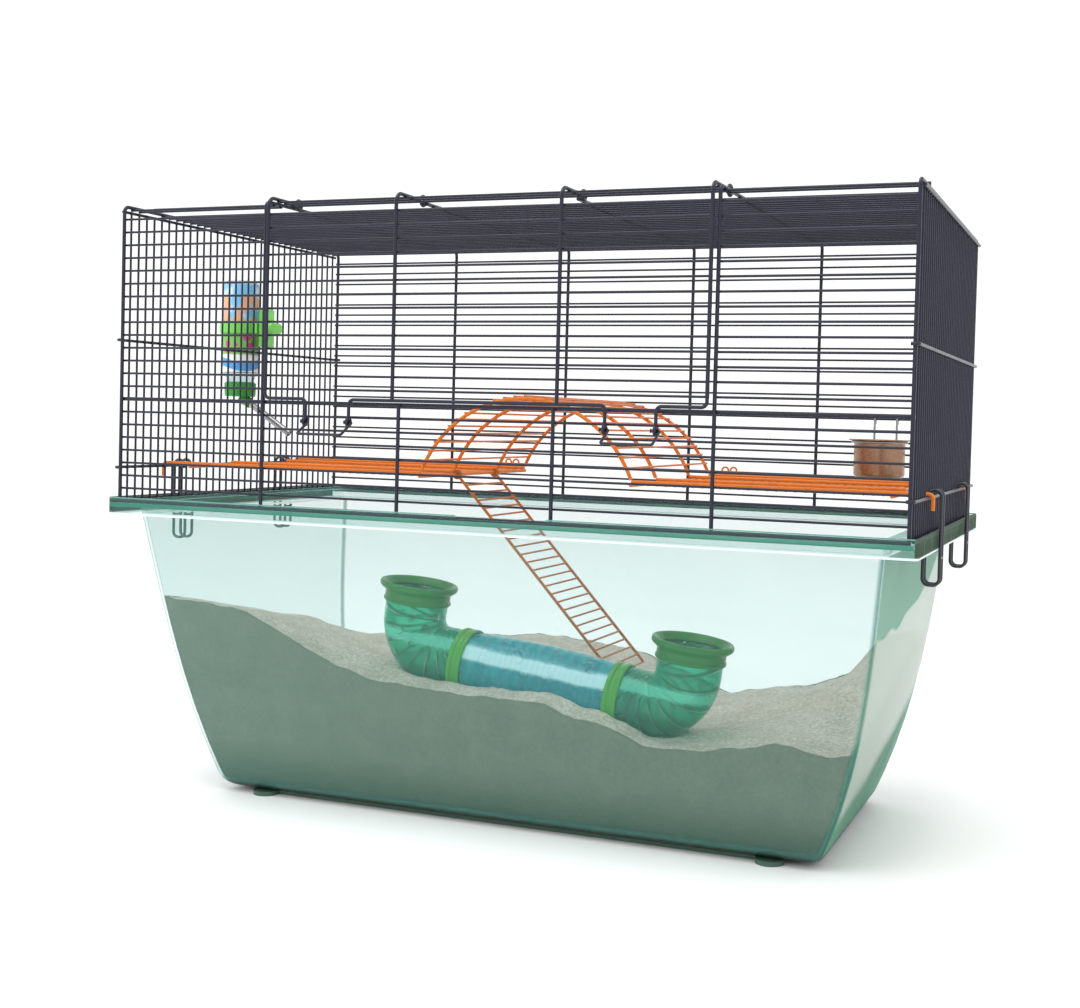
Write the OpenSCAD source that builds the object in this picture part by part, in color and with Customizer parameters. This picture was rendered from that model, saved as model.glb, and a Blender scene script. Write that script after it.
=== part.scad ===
// Hamster cage: a deep clear tub with bedding and tunnels under a tall wire top.
// Millimetres, +Z up, front of the cage faces -Y, table at z = 0.

/* [Wire top] */
// Distance between the left and right corner wires
top_len = 782; // [640:1:900]
// Distance between the front and back corner wires
top_dep = 411; // [340:1:480]
// Height of the roof wires above the bottom wires
top_h = 294; // [240:1:360]
// Height of the bottom wires above the table
seat_z = 300; // [260:1:340]
// Diameter of the upright and rafter wires
upright_d = 3.6; // [3:0.1:4.5]
// Diameter of the thin bars
bar_d = 2.2; // [1.8:0.1:2.6]
// Diameter of the heavy bottom wires
bottom_d = 4; // [3.4:0.1:4.6]
// Diameter of the main bar under the door
main_d = 3.8; // [3.2:0.1:4.4]
// Number of gaps between the bars of the front and back
front_gaps = 23; // [20:1:26]
// Number of gaps between the bars of the ends and the roof
end_gaps = 34; // [34:2:38]
// Bar of the front that is made heavy, counted from the bottom wire
main_bar = 8; // [6:1:10]
// Bend radius where an upright turns over into the roof
bend_r = 6; // [4:0.5:9]
// Depth that welded wires sink into each other
weld = 0.4; // [0.3:0.05:0.6]
// Diameter of the stiffening wires across the ends
brace_d = 3; // [2.4:0.1:3.4]
// Height of the middle brace above the bottom wires
mid_brace_z = 161; // [130:1:190]
// Height of the low brace above the bottom wires
low_brace_z = 33.5; // [28:0.5:40]

/* [Door] */
// Half width between the uprights beside the door
door_bay = 225; // [180:1:260]
// Half spacing of the inner uprights below the door
inner_upright = 77.3; // [60:0.5:100]
// Side gap between the door's outer wires and the uprights
door_side_gap = 1.9; // [1.5:0.1:3]
// Half spacing of the door's inner wires
door_inner = 82; // [82:0.5:110]
// Gap between the door frame and the front uprights
door_front_gap = 0.6; // [0.5:0.1:1]
// Diameter of the door's bottom wire
sill_d = 3.2; // [2.8:0.1:3.4]
// Extra wire thickness of the pressed eyes
eye_extra = 0.3; // [0.2:0.1:0.5]
// Roof bar that carries the door hinge, counted from the front
hinge_bar = 4; // [3:1:6]
// Height of the door's bottom wire above the main bar
door_sill = 3.8; // [3:0.1:6]
// Clearance between a pivot wire and the loop around it
pivot_gap = 0.3; // [0.25:0.05:0.5]

/* [Door latches] */
// Distance from the cage's middle to a latch's middle
latch_x = 151; // [120:1:175]
// Spacing of a latch's two eyes
latch_w = 46.8; // [36:0.2:56]
// Height of the latch pivot under the main bar
latch_drop = 17.3; // [16.5:0.1:18]
// Diameter of the bail wire
bail_d = 2.6; // [2:0.1:2.8]
// Length of the bail's legs
bail_leg = 23.5; // [18:0.5:30]
// Angle of the hanging bail below the horizontal
bail_angle = 30; // [0:1:60]

/* [Tub] */
// Reach of the rim beyond the corner wires, at each end
rim_beyond = 9; // [8:0.5:14]
// Reach of the rim beyond the corner wires, at front and back
rim_ahead = 8; // [7:0.5:12]
// Width of the rim outside the tub's walls, at each end
rim_width_end = 27; // [20:0.5:36]
// Width of the rim outside the tub's walls, at front and back
rim_width_side = 10.5; // [9:0.5:16]
// Lean of each end wall between rim and floor
end_lean = 62; // [30:1:80]
// Lean of the front and back walls between rim and floor
side_lean = 68; // [30:1:80]
// Outward bulge of the end walls
end_bulge = 12.5; // [4:0.5:20]
// Radius between floor and walls
floor_r = 24; // [12:1:30]
// Wall thickness of the tub
tub_wall = 3; // [2:0.1:4]
// Thickness of the rim's flange, lips and skirt
rim_wall = 2.5; // [2:0.1:3]
// Height of the outer lip above the flange
lip_h = 6; // [4:0.5:8]
// Height of the inner lip above the flange
inner_lip_h = 4.5; // [3:0.5:6]
// Depth of the skirt below the flange
skirt_h = 9; // [6:0.5:12]
// Number of ribs under each end of the rim
rib_count = 9; // [5:1:13]
// Length of the finger notch in the long rims
notch_len = 88; // [60:1:120]
// Height of the feet
foot_h = 4.2; // [3:0.1:6]
// Radius of the feet
foot_r = 13; // [8:0.5:18]
// Distance of the feet from the floor's ends
foot_inset = 46; // [30:1:80]

/* [Rim clips] */
// Diameter of the clip wire
clip_d = 3; // [2.6:0.1:3.2]
// Gap between a clip leg and the rim skirt
clip_gap = 1.2; // [0.8:0.1:2]
// Depth of the clip's hook below the skirt
clip_hook_h = 30; // [22:1:36]
// Width of the clip's hook
clip_hook_w = 14.5; // [12:0.5:16]
// Gap between the skirt's lower edge and the hook's end
clip_tip_gap = 3; // [2:0.5:4]
// End bar that a clip is centred on, counted from the front
clip_bar = 9; // [6:1:11]

/* [Shelves] */
// Diameter of the long shelf wires
shelf_d = 3.6; // [3:0.1:4]
// Diameter of the cross wires
rung_d = 2; // [1.6:0.1:2.4]
// End bar gap where the outer shelf wires pass, from the front
shelf_gap = 6.5; // [5.5:1:7.5]
// End bar gap in line with the inner shelf wires
inner_gap = 12.5; // [11.5:1:13.5]
// Distance from the end bars to the shelf's border wire
shelf_end = 27; // [20:1:40]
// Position of the left foot of the arch
arch_left = -94; // [-110:1:-80]
// Span of the arch
arch_span = 219; // [190:1:230]
// Rise of the arch above the shelves
arch_rise = 75; // [55:1:90]
// Pitch of the cross wires
rung_pitch = 8.6; // [7:0.1:12]
// Pitch of the arch's cross wires along the bend
arch_pitch = 10.4; // [8:0.1:14]
// Length of the hooks outside the end bars
shelf_hook = 14; // [8:1:20]

/* [Ladder] */
// Gap between the ladder's rails and the inner shelf wires, centre to centre
ladder_side = 8.4; // [5:0.2:16]
// Length of the ladder
ladder_len = 262; // [220:1:268]
// Angle of the ladder below the horizontal
ladder_angle = 47.4; // [44:0.2:52]
// Pitch of the ladder's rungs
ladder_pitch = 10.3; // [9:0.1:14]
// Diameter of the ladder's rails
rail_d = 3; // [2.4:0.1:3.4]

/* [Tunnel] */
// Middle of the tunnel, left to right
tunnel_x = 31; // [10:1:50]
// Distance from the front of the tub's opening to the tunnel's axis
tunnel_back = 98; // [92:1:103]
// Height of the tunnel's axis at its middle
tunnel_z = 141; // [135:1:150]
// Slope of the tunnel, down to the right
tunnel_slope = 7; // [0:0.5:10]
// Outer radius of the elbows
tube_r = 31; // [27:0.5:33]
// Wall thickness of the tubes
tube_wall = 2; // [1.5:0.1:2.5]
// Extra radius at the middle tube's belly
belly = 3; // [1:0.5:4]
// Half length of the middle tube
middle_half = 81; // [70:1:90]
// Distance from the tunnel's middle to an elbow's neck
neck_x = 144; // [138:1:156]
// Bend radius of the elbows
elbow_r = 36; // [33:0.5:40]
// Height of the mouths above the tunnel's axis
mouth_h = 69; // [60:1:80]
// Reach of the mouth lips beyond the tube
lip_beyond = 8; // [5:0.5:11]
// Width of the coupling rings
ring_w = 14; // [10:1:18]
// Radial thickness of the rings
ring_t = 2.6; // [2:0.1:3.5]
// Gap between a ring and the tube inside it
ring_gap = 0.1; // [0.05:0.05:0.2]

/* [Bedding] */
// Height of the bedding's surface above the table at the front
bed_z = 131; // [115:1:138]
// Extra height of the heap at the front left
heap_h = 72; // [30:1:80]
// Extra height of the heap at the back right
back_heap_h = 54; // [20:1:70]
// Gap between the bedding and the tub's walls
bed_gap = 0.5; // [0.3:0.1:1]
// Gap between the tunnel and the trough it lies in
trough_gap = 1.2; // [0.8:0.1:2]

/* [Water bottle] */
// End bar gap that the drinking tube passes, from the front
bottle_gap = 20.5; // [17.5:1:23.5]
// Radius of the bottle
bottle_r = 21.6; // [18:0.2:24]
// Distance from the end wires to the bottle's side
bottle_off = 8.9; // [8.5:0.1:14]
// Height of the bottle's top above the bottom wires
bottle_top = 245; // [225:1:260]
// Height of the bottle's shoulder above the bottom wires
shoulder_z = 137; // [130:1:145]
// Height of the cap
cap_h = 17; // [14:0.5:20]
// Radius of the cap
cap_r = 18; // [16:0.5:20]
// Height of the neck between shoulder and cap
neck_h = 13; // [10:0.5:16]
// Wall thickness of the bottle
bottle_wall = 1.5; // [1:0.1:2]
// Radius of the drinking tube
sip_r = 3.9; // [3:0.1:4.2]
// Length of the drinking tube beyond the nozzle
sip_len = 62; // [50:1:75]
// Angle of the drinking tube below the horizontal
sip_angle = 32; // [25:1:40]
// Height of the bracket band above the bottom wires
band_z = 183; // [175:1:195]
// Height of the band
band_h = 13; // [10:0.5:18]
// Radial thickness of the band
band_t = 3; // [2:0.1:4]
// Running clearance between the bottle and the band
band_gap = 0.3; // [0.3:0.05:0.6]

/* [Food bowl] */
// Place of the bowl between the door's upright and the corner wire
bowl_share = 0.464; // [0.35:0.01:0.6]
// Radius of the bowl's flange
bowl_flange = 33; // [30:0.5:36]
// Radius of the bowl's wall
bowl_r = 27; // [24:0.5:29]
// Height of the bowl
bowl_h = 41; // [34:0.5:46]
// Thickness of the bowl's sheet
bowl_t = 1; // [0.8:0.1:1.5]
// Diameter of the hanger's wire
hanger_d = 2.4; // [2:0.1:3]
// Clearance between the bowl and the ring around it
bowl_gap = 0.4; // [0.3:0.1:1]

/* [Hidden] */
$fn = 64;
half_x = top_len / 2;
half_y = top_dep / 2;
roof_z = seat_z + top_h;
bar_step = top_h / front_gaps;
end_step = top_dep / end_gaps;
upright_r = upright_d / 2;
bar_r = bar_d / 2;
// A straight run reaches this far into a bend, and the bend is this much thicker
bend_lap = 0.25;
bend_swell = 0.06;
// Gap between pieces that rest on each other, and between pieces that pass
touch_gap = 0.05;
safe_gap = 0.3;
// Bars are welded to the inner side of the uprights
bar_in = upright_r + bar_r - weld;
front_bar_y = -half_y + bar_in;
roof_bar_z = roof_z - bar_in;
main_z = seat_z + main_bar * bar_step;
main_y = -half_y + upright_r + main_d / 2 - weld;
// Long bars end just inside the outer side of the corner wires
side_end = half_x + upright_r - weld;
hinge_y = -half_y + hinge_bar * end_step;
hinge_z = roof_z + upright_d - weld;
// Door frame lies just in front of the uprights
door_y = -half_y - upright_d - door_front_gap;
door_half = door_bay - upright_d - door_side_gap;
door_bar_y = door_y + bar_in;
sill_z = main_z + door_sill;
hinge_eye = upright_d + eye_extra / 2 + pivot_gap;
latch_z = main_z - latch_drop;
latch_eye = (sill_d + eye_extra + bail_d) / 2 + pivot_gap;
rim_len = top_len + 2 * rim_beyond;
rim_dep = top_dep + 2 * rim_ahead;
tub_len = rim_len - 2 * rim_width_end;
tub_dep = rim_dep - 2 * rim_width_side;
floor_len = tub_len - 2 * end_lean;
floor_dep = tub_dep - 2 * side_lean;
tunnel_y = tunnel_back - tub_dep / 2;
lip_r = tube_r + lip_beyond;
// The end panels stand just outside the corner wires
brace_x = half_x + upright_r + brace_d / 2 + touch_gap;
end_bar_x = brace_x - bar_r - brace_d / 2 + weld;
low_z = seat_z + low_brace_z;
shelf_z = low_z + brace_d / 2 + shelf_d / 2 + touch_gap;
shelf_outer = half_y - shelf_gap * end_step;
shelf_inner = half_y - inner_gap * end_step;
shelf_x = half_x - shelf_end;
arch_right = arch_left + arch_span;
arch_mid = (arch_left + arch_right) / 2;
arch_r = (pow(arch_span / 2, 2) + pow(arch_rise, 2)) / (2 * arch_rise);
arch_half = asin(arch_span / 2 / arch_r);
arch_z = shelf_z + arch_rise - arch_r;
rung_drop = shelf_d / 2 + rung_d / 2 - weld;
flange_z = seat_z - bottom_d / 2 - 2 * touch_gap;
skirt_z = flange_z - rim_wall - skirt_h;
tub_top = flange_z;
clip_y = half_y - clip_bar * end_step;
clip_over_x = brace_x - brace_d / 2 - clip_d / 2 - 0.5;
clip_x = rim_len / 2 + clip_gap + clip_d / 2;
clip_in_x = clip_x - clip_hook_w;
clip_low_z = skirt_z - clip_hook_h;
ladder_x = arch_left;
ladder_half = shelf_inner - ladder_side;
border_z = shelf_z - shelf_d + weld;
ladder_eye = (shelf_d + rail_d + eye_extra) / 2 + pivot_gap;
bottle_x = -half_x - bottle_off - bottle_r;
bottle_y = -half_y + bottle_gap * end_step;
bottle_top_z = seat_z + bottle_top;
bottle_shoulder = seat_z + shoulder_z;
cap_top = bottle_shoulder - neck_h + 3;
cap_low = cap_top - cap_h;
cap_floor = 4;
bowl_x = door_bay + (half_x - door_bay) * bowl_share;
bowl_y = half_y - bar_in - bar_r - bowl_flange - hanger_d - 1;
bowl_z = shelf_z + shelf_d / 2 + 0.4;
bowl_top = bowl_z + bowl_h;

// ---- wire helpers ----
module wire_x(x0, x1, y, z, d) {
  translate([x0, y, z]) rotate([0, 90, 0]) cylinder(h = x1 - x0, d = d);
}
module wire_y(x, y0, y1, z, d) {
  translate([x, y0, z]) rotate([-90, 0, 0]) cylinder(h = y1 - y0, d = d);
}
module wire_z(x, y, z0, z1, d) {
  translate([x, y, z0]) cylinder(h = z1 - z0, d = d);
}
// Wire bent along a flat path of points, with every corner rounded to radius r
function heading(a, b) = (b - a) / norm(b - a);
function turn_of(u, v) = atan2(u[0] * v[1] - u[1] * v[0], u * v);
module bent_wire(points, r, d) {
  last = len(points) - 1;
  dirs = [for (i = [0 : last - 1]) heading(points[i], points[i + 1])];
  turns = [for (i = [1 : last - 1]) turn_of(dirs[i - 1], dirs[i])];
  trims = [for (i = [0 : last]) i == 0 || i == last ? 0 : r * tan(abs(turns[i - 1]) / 2)];
  for (i = [0 : last - 1]) {
    a = points[i] + dirs[i] * (trims[i] - (i > 0 ? bend_lap : 0));
    b = points[i + 1] - dirs[i] * (trims[i + 1] - (i < last - 1 ? bend_lap : 0));
    translate([a[0], a[1], 0]) rotate([0, 0, atan2(dirs[i][1], dirs[i][0])])
      rotate([0, 90, 0]) cylinder(h = norm(b - a), d = d);
  }
  for (i = [1 : last - 1]) {
    side = sign(turns[i - 1]);
    left = [-dirs[i - 1][1], dirs[i - 1][0]];
    centre = points[i] - dirs[i - 1] * trims[i] + left * side * r;
    first = atan2(-side * left[1], -side * left[0]);
    translate([centre[0], centre[1], 0]) rotate([0, 0, side > 0 ? first : first + turns[i - 1]])
      rotate_extrude(angle = abs(turns[i - 1])) translate([r, 0]) circle(d = d + bend_swell);
  }
}
// Stand a flat path up in the XZ plane at y, or in the YZ plane at x
module in_xz(y) { translate([0, y, 0]) rotate([90, 0, 0]) children(); }
module in_yz(x) { translate([x, 0, 0]) rotate([90, 0, 90]) children(); }
// Closed loop of wire around an axis along X
module eye_x(r, d) {
  rotate([0, 90, 0]) rotate_extrude() translate([r, 0]) circle(d = d);
}
// Closed loop of wire around an axis along Y
module eye_y(r, d) {
  rotate([90, 0, 0]) rotate_extrude() translate([r, 0]) circle(d = d);
}
// ---- wire top ----
// Upright that turns over into the roof
module front_upright(x) {
  in_yz(x) bent_wire([[-half_y, seat_z], [-half_y, roof_z], [-half_y + bend_r + 0.5, roof_z]],
    bend_r, upright_d);
}
module front_panel() {
  color("#23252f") union() {
    for (side = [-1, 1]) {
      front_upright(side * half_x);
      front_upright(side * door_bay);
      wire_z(side * inner_upright, -half_y, seat_z, main_z, upright_d);
    }
    wire_x(-side_end, side_end, -half_y, seat_z, bottom_d);
    wire_x(-side_end, side_end, main_y, main_z, main_d);
    for (k = [1 : front_gaps - 1]) {
      z = seat_z + k * bar_step;
      if (k < main_bar) wire_x(-side_end, side_end, front_bar_y, z, bar_d);
      if (k > main_bar) {
        wire_x(-side_end, -door_bay + upright_r, front_bar_y, z, bar_d);
        wire_x(door_bay - upright_r, side_end, front_bar_y, z, bar_d);
      }
    }
  }
}
module back_panel() {
  color("#23252f") union() {
    for (x = [-half_x, -door_bay, -inner_upright, inner_upright, door_bay, half_x])
      mirror([0, 1, 0]) front_upright(x);
    wire_x(-side_end, side_end, half_y, seat_z, bottom_d);
    for (k = [1 : front_gaps - 1])
      wire_x(-side_end, side_end, -front_bar_y, seat_z + k * bar_step, bar_d);
  }
}
module roof_panel() {
  edge = half_y - bend_r - 0.5;
  color("#23252f") union() {
    for (x = [-half_x, -door_bay, door_bay, half_x])
      wire_y(x, -edge, edge, roof_z, upright_d);
    for (x = [-inner_upright, inner_upright])
      wire_y(x, hinge_y - upright_r, edge, roof_z, upright_d);
    wire_x(-side_end, side_end, hinge_y, hinge_z, upright_d);
    for (k = [1 : end_gaps - 1]) {
      y = -half_y + k * end_step;
      if (k > hinge_bar) wire_x(-side_end, side_end, y, roof_bar_z, bar_d);
      if (k < hinge_bar - 1) {
        wire_x(-side_end, -door_bay + upright_r, y, roof_bar_z, bar_d);
        wire_x(door_bay - upright_r, side_end, y, roof_bar_z, bar_d);
      }
    }
  }
}
// End panel: thin uprights on cross wires; the braces hook round the corner wires
module end_panel() {
  top_z = roof_z - upright_r - brace_d;
  reach = half_y + upright_r + brace_d / 2 + 0.1;
  hook_x = half_x - 3;
  color("#23252f") union() {
    for (k = [1 : end_gaps - 1])
      wire_z(end_bar_x, -half_y + k * end_step, seat_z, top_z + 1, bar_d);
    for (z = [top_z, seat_z + 1])
      wire_y(brace_x, -half_y + 2, half_y - 2, z, brace_d);
    for (z = [seat_z + mid_brace_z, low_z])
      translate([0, 0, z]) bent_wire([[hook_x, -reach], [brace_x, -reach], [brace_x, reach],
        [hook_x, reach]], 2.4, brace_d);
  }
}
module left_panel() { mirror([1, 0, 0]) end_panel(); }
module right_panel() { end_panel(); }

// ---- door ----
// Door wire: down the front from the hinge eye, to a given height
module door_wire(x, low) {
  in_yz(x) bent_wire([[door_y, low], [door_y, hinge_z], [hinge_y - hinge_eye, hinge_z]],
    bend_r + 3, upright_d);
  translate([x, hinge_y, hinge_z]) eye_x(hinge_eye, upright_d + eye_extra);
}
module latch_eye_at(x) {
  translate([x, door_y, latch_z]) eye_x(latch_eye, sill_d + eye_extra);
}
module door() {
  near = latch_x - latch_w / 2;
  far = latch_x + latch_w / 2;
  corner = 7;
  color("#23252f") union() {
    for (side = [-1, 1]) {
      door_wire(side * door_half, sill_z + corner + 1);
      door_wire(side * door_inner, sill_z - 1);
      in_xz(door_y) bent_wire([[side * door_half, sill_z + corner + 1], [side * door_half, sill_z],
        [side * far, sill_z], [side * far, latch_z + latch_eye]], 5, sill_d);
      latch_eye_at(side * near);
      latch_eye_at(side * far);
    }
    in_xz(door_y) bent_wire([[-near, latch_z + latch_eye], [-near, sill_z], [near, sill_z],
      [near, latch_z + latch_eye]], 5, sill_d);
    for (k = [main_bar + 1 : front_gaps - 1])
      wire_x(-door_half - 1, door_half + 1, door_bar_y, seat_z + k * bar_step, bar_d);
    for (k = [1 : hinge_bar - 1])
      wire_x(-door_half - 1, door_half + 1, -half_y + k * end_step, hinge_z - bar_in, bar_d);
  }
}
// Bail of a latch: a bent wire whose two ends turn in the door's eyes
module door_latch(middle) {
  side_step = (sill_d + eye_extra) / 2 + bail_d / 2 + 0.8;
  left = middle - latch_w / 2;
  right = middle + latch_w / 2;
  color("#23252f") translate([0, door_y, latch_z]) rotate([bail_angle, 0, 0]) union() {
    bent_wire([[left - side_step, 0], [left + side_step, 0], [left + side_step, -bail_leg],
      [right + side_step, -bail_leg], [right + side_step, 0], [right - side_step, 0]], 2.2, bail_d);
    for (x = [left - side_step, right - side_step])
      wire_x(x - 0.8, x, 0, 0, bail_d + 1.2);
  }
}
module door_latch_left() { door_latch(-latch_x); }
module door_latch_right() { door_latch(latch_x); }

// ---- rim clips ----
// One J of a clip: it hooks over the low brace, runs down past the rim and turns
// in and up under the skirt
module clip_half(y, tip_z) {
  bend = (clip_x - clip_over_x) / 2 - 0.1;
  in_xz(y) bent_wire([[clip_over_x, low_z - 3], [clip_over_x, low_z + bend], [clip_x, low_z + bend],
    [clip_x, clip_low_z], [clip_in_x, clip_low_z], [clip_in_x, tip_z]], bend, clip_d);
}
module rim_clip(y) {
  spread = end_step / 2;
  tip = skirt_z - clip_tip_gap;
  color("#1e2027") union() {
    for (s = [-1, 1]) clip_half(y + s * spread, tip);
    wire_y(clip_in_x, y - spread, y + spread, tip - 2.5, clip_d - 0.4);
    wire_y(clip_x, y - spread, y + spread, skirt_z - 6, clip_d - 0.4);
  }
}
module rim_clip_front_right() { rim_clip(-clip_y); }
module rim_clip_back_right() { rim_clip(clip_y); }
module rim_clip_front_left() { mirror([1, 0, 0]) rim_clip(-clip_y); }
module rim_clip_back_left() { mirror([1, 0, 0]) rim_clip(clip_y); }

// ---- tub ----
// End wall outline as a shallow arc; inset moves it inwards
function end_wall(inset, steps = 10) =
  let (x0 = tub_len / 2 - inset, z0 = tub_top, x1 = floor_len / 2 - inset, z1 = foot_h + inset,
       run = z0 - z1)
  [for (i = [0 : steps]) let (t = i / steps)
    [x0 + (x1 - x0) * t + 4 * end_bulge * t * (1 - t) * (0.55 + 0.9 * t), z0 - run * t]];
function side_wall(inset) =
  [[tub_dep / 2 - inset, tub_top], [floor_dep / 2 - inset + floor_r * 0.28, foot_h + inset + floor_r],
   [floor_dep / 2 - inset, foot_h + inset + floor_r * 0.3],
   [floor_dep / 2 - inset - floor_r * 0.3, foot_h + inset]];
function both_sides(points) =
  concat(points, [for (i = [len(points) - 1 : -1 : 0]) [-points[i][0], points[i][1]]]);
// Solid that fills the tub's outline, moved inwards by inset and cut off at a height
module tub_body(inset, top) {
  intersection() {
    translate([0, tub_dep, 0]) rotate([90, 0, 0])
      linear_extrude(2 * tub_dep) polygon(both_sides(end_wall(inset)));
    translate([-tub_len, 0, 0]) rotate([90, 0, 90])
      linear_extrude(2 * tub_len) polygon(both_sides(side_wall(inset)));
    translate([-tub_len, -tub_dep, 0]) cube([2 * tub_len, 2 * tub_dep, top]);
  }
}
module box_ring(len_out, dep_out, wall, low, high) {
  difference() {
    translate([-len_out / 2, -dep_out / 2, low]) cube([len_out, dep_out, high - low]);
    translate([-len_out / 2 + wall, -dep_out / 2 + wall, low - 1])
      cube([len_out - 2 * wall, dep_out - 2 * wall, high - low + 2]);
  }
}
module base_tub() {
  color([0.42, 0.78, 0.68, 0.45]) difference() {
    union() {
      tub_body(0, tub_top);
      difference() {
        translate([-rim_len / 2, -rim_dep / 2, flange_z - rim_wall])
          cube([rim_len, rim_dep, rim_wall]);
        translate([-tub_len / 2 + 5, -tub_dep / 2 + 5, flange_z - 2 * rim_wall])
          cube([tub_len - 10, tub_dep - 10, 3 * rim_wall]);
      }
      box_ring(rim_len, rim_dep, rim_wall, skirt_z, flange_z + lip_h);
      box_ring(tub_len, tub_dep, tub_wall, flange_z - 1, flange_z + inner_lip_h);
      for (side = [-1, 1], i = [0 : rib_count - 1]) {
        y = (i - (rib_count - 1) / 2) * rim_dep / (rib_count + 0.5);
        translate([side * (rim_len / 2 - 1 - rim_wall) - 1 - rim_wall, y - 1, flange_z - rim_wall - 5])
          cube([2 * rim_wall + 2, 2, 5.5]);
      }
    }
    tub_body(tub_wall, tub_top + 0.01);
    translate([-tub_len / 2 + tub_wall, -tub_dep / 2 + tub_wall, tub_top - 0.01])
      cube([tub_len - 2 * tub_wall, tub_dep - 2 * tub_wall, 20]);
    for (side = [-1, 1])
      translate([-notch_len / 2 + 30, side * (rim_dep / 2 - rim_wall / 2) - rim_wall, flange_z + 2])
        cube([notch_len, 2 * rim_wall, 10]);
  }
}
// Four round pads joined by a low rib under the floor
module feet() {
  pad_x = floor_len / 2 - foot_inset;
  pad_y = floor_dep / 2 - foot_r + 3;
  rib = 6;
  color([0.7, 0.85, 0.8, 0.6]) union() {
    for (sx = [-1, 1], sy = [-1, 1])
      translate([sx * pad_x, sy * pad_y, 0]) cylinder(h = foot_h - 0.02, r = foot_r);
    box_ring(2 * pad_x + rib, 2 * (pad_y - foot_r / 2) + rib, rib, 0, foot_h - 0.02);
  }
}

// ---- bedding ----
// Smooth step from 0 to 1 around a place along the tub, and a smooth hump
function rise(u, at, width) = 1 / (1 + exp((at - u) / width));
function hump(u, at, width) = exp(-pow((u - at) / width, 2));
// Heights along the front and the back wall, u in floor lengths from the middle
function bed_front(u) =
  bed_z + heap_h * (1 - rise(u, -0.33, 0.045)) - 24 * rise(u, 0.145, 0.024) - 8 * hump(u, 0.26, 0.06);
function bed_back(u) =
  bed_z - 8 + 18 * hump(u, -0.1, 0.18) - 24 * hump(u, 0.26, 0.1) + back_heap_h * rise(u, 0.474, 0.016);
function bed_height(x, y) =
  let (u = x / floor_len, t = min(1, max(0, 0.54 + 1.2 * y / tub_dep)), mixed = t * t * (3 - 2 * t))
  bed_front(u) * (1 - mixed) + bed_back(u) * mixed
  + 1.6 * sin(x * 2.3 + y * 1.1) + 1.2 * sin(x * 4.1 - y * 2.7);
module bed_block(nx = 30, ny = 14) {
  lx = tub_len * 1.02;
  ly = tub_dep * 1.02;
  function px(i) = lx * (i / nx - 0.5);
  function py(j) = ly * (j / ny - 0.5);
  top = [for (i = [0 : nx], j = [0 : ny]) [px(i), py(j), bed_height(px(i), py(j))]];
  corners = [for (i = [0, nx], j = [0, ny]) [px(i), py(j), foot_h]];
  m = ny + 1;
  n = (nx + 1) * m;
  faces_top = [for (i = [0 : nx - 1], j = [0 : ny - 1], h = [0, 1])
    h == 0 ? [i * m + j, i * m + j + 1, (i + 1) * m + j]
           : [(i + 1) * m + j, i * m + j + 1, (i + 1) * m + j + 1]];
  front_line = [for (i = [0 : nx]) i * m];
  back_line = [for (i = [0 : nx]) i * m + ny];
  left_line = [for (j = [0 : ny]) j];
  right_line = [for (j = [0 : ny]) nx * m + j];
  function flip(a) = [for (i = [len(a) - 1 : -1 : 0]) a[i]];
  points = concat(top, corners);
  polyhedron(points = points, faces = concat(faces_top,
    [concat(front_line, [n + 2, n])],
    [concat(flip(back_line), [n + 1, n + 3])],
    [concat(flip(left_line), [n, n + 1])],
    [concat(right_line, [n + 3, n + 2])],
    [[n, n + 2, n + 3, n + 1]]));
}
module bedding() {
  color("#b9b39c") difference() {
    intersection() {
      bed_block();
      tub_body(tub_wall + bed_gap, tub_top);
    }
    tunnel_place() translate([-neck_x - tube_r - 6, 0, 0]) rotate([0, 90, 0])
      cylinder(h = 2 * (neck_x + tube_r + 6), r = tube_r + ring_t + ring_gap + trough_gap);
  }
}

// ---- tunnel ----
module tunnel_place() {
  translate([tunnel_x, tunnel_y, tunnel_z]) rotate([0, tunnel_slope, 0]) children();
}
// Elbow from the coupling up to the mouth, right-hand one in the tunnel's own frame
module elbow_shell(r) {
  translate([neck_x - elbow_r, 0, elbow_r]) rotate([90, 0, 0]) rotate([0, 0, -90])
    rotate_extrude(angle = 90) translate([elbow_r, 0]) circle(r = r);
}
module elbow(inside) {
  r = tube_r - (inside ? tube_wall : 0);
  more = inside ? 1 : 0;
  elbow_shell(r);
  translate([middle_half + 0.1 - more, 0, 0]) rotate([0, 90, 0])
    cylinder(h = neck_x - elbow_r - middle_half - 0.1 + more, r = r);
  translate([neck_x, 0, elbow_r]) cylinder(h = mouth_h - 8 - elbow_r + more, r = r);
}
module right_elbow_shape() {
  difference() {
    elbow(false);
    elbow(true);
  }
}
module left_elbow() {
  color([0.05, 0.6, 0.38, 0.6]) tunnel_place() mirror([1, 0, 0]) right_elbow_shape();
}
module right_elbow() {
  color([0.05, 0.6, 0.38, 0.6]) tunnel_place() right_elbow_shape();
}
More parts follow.
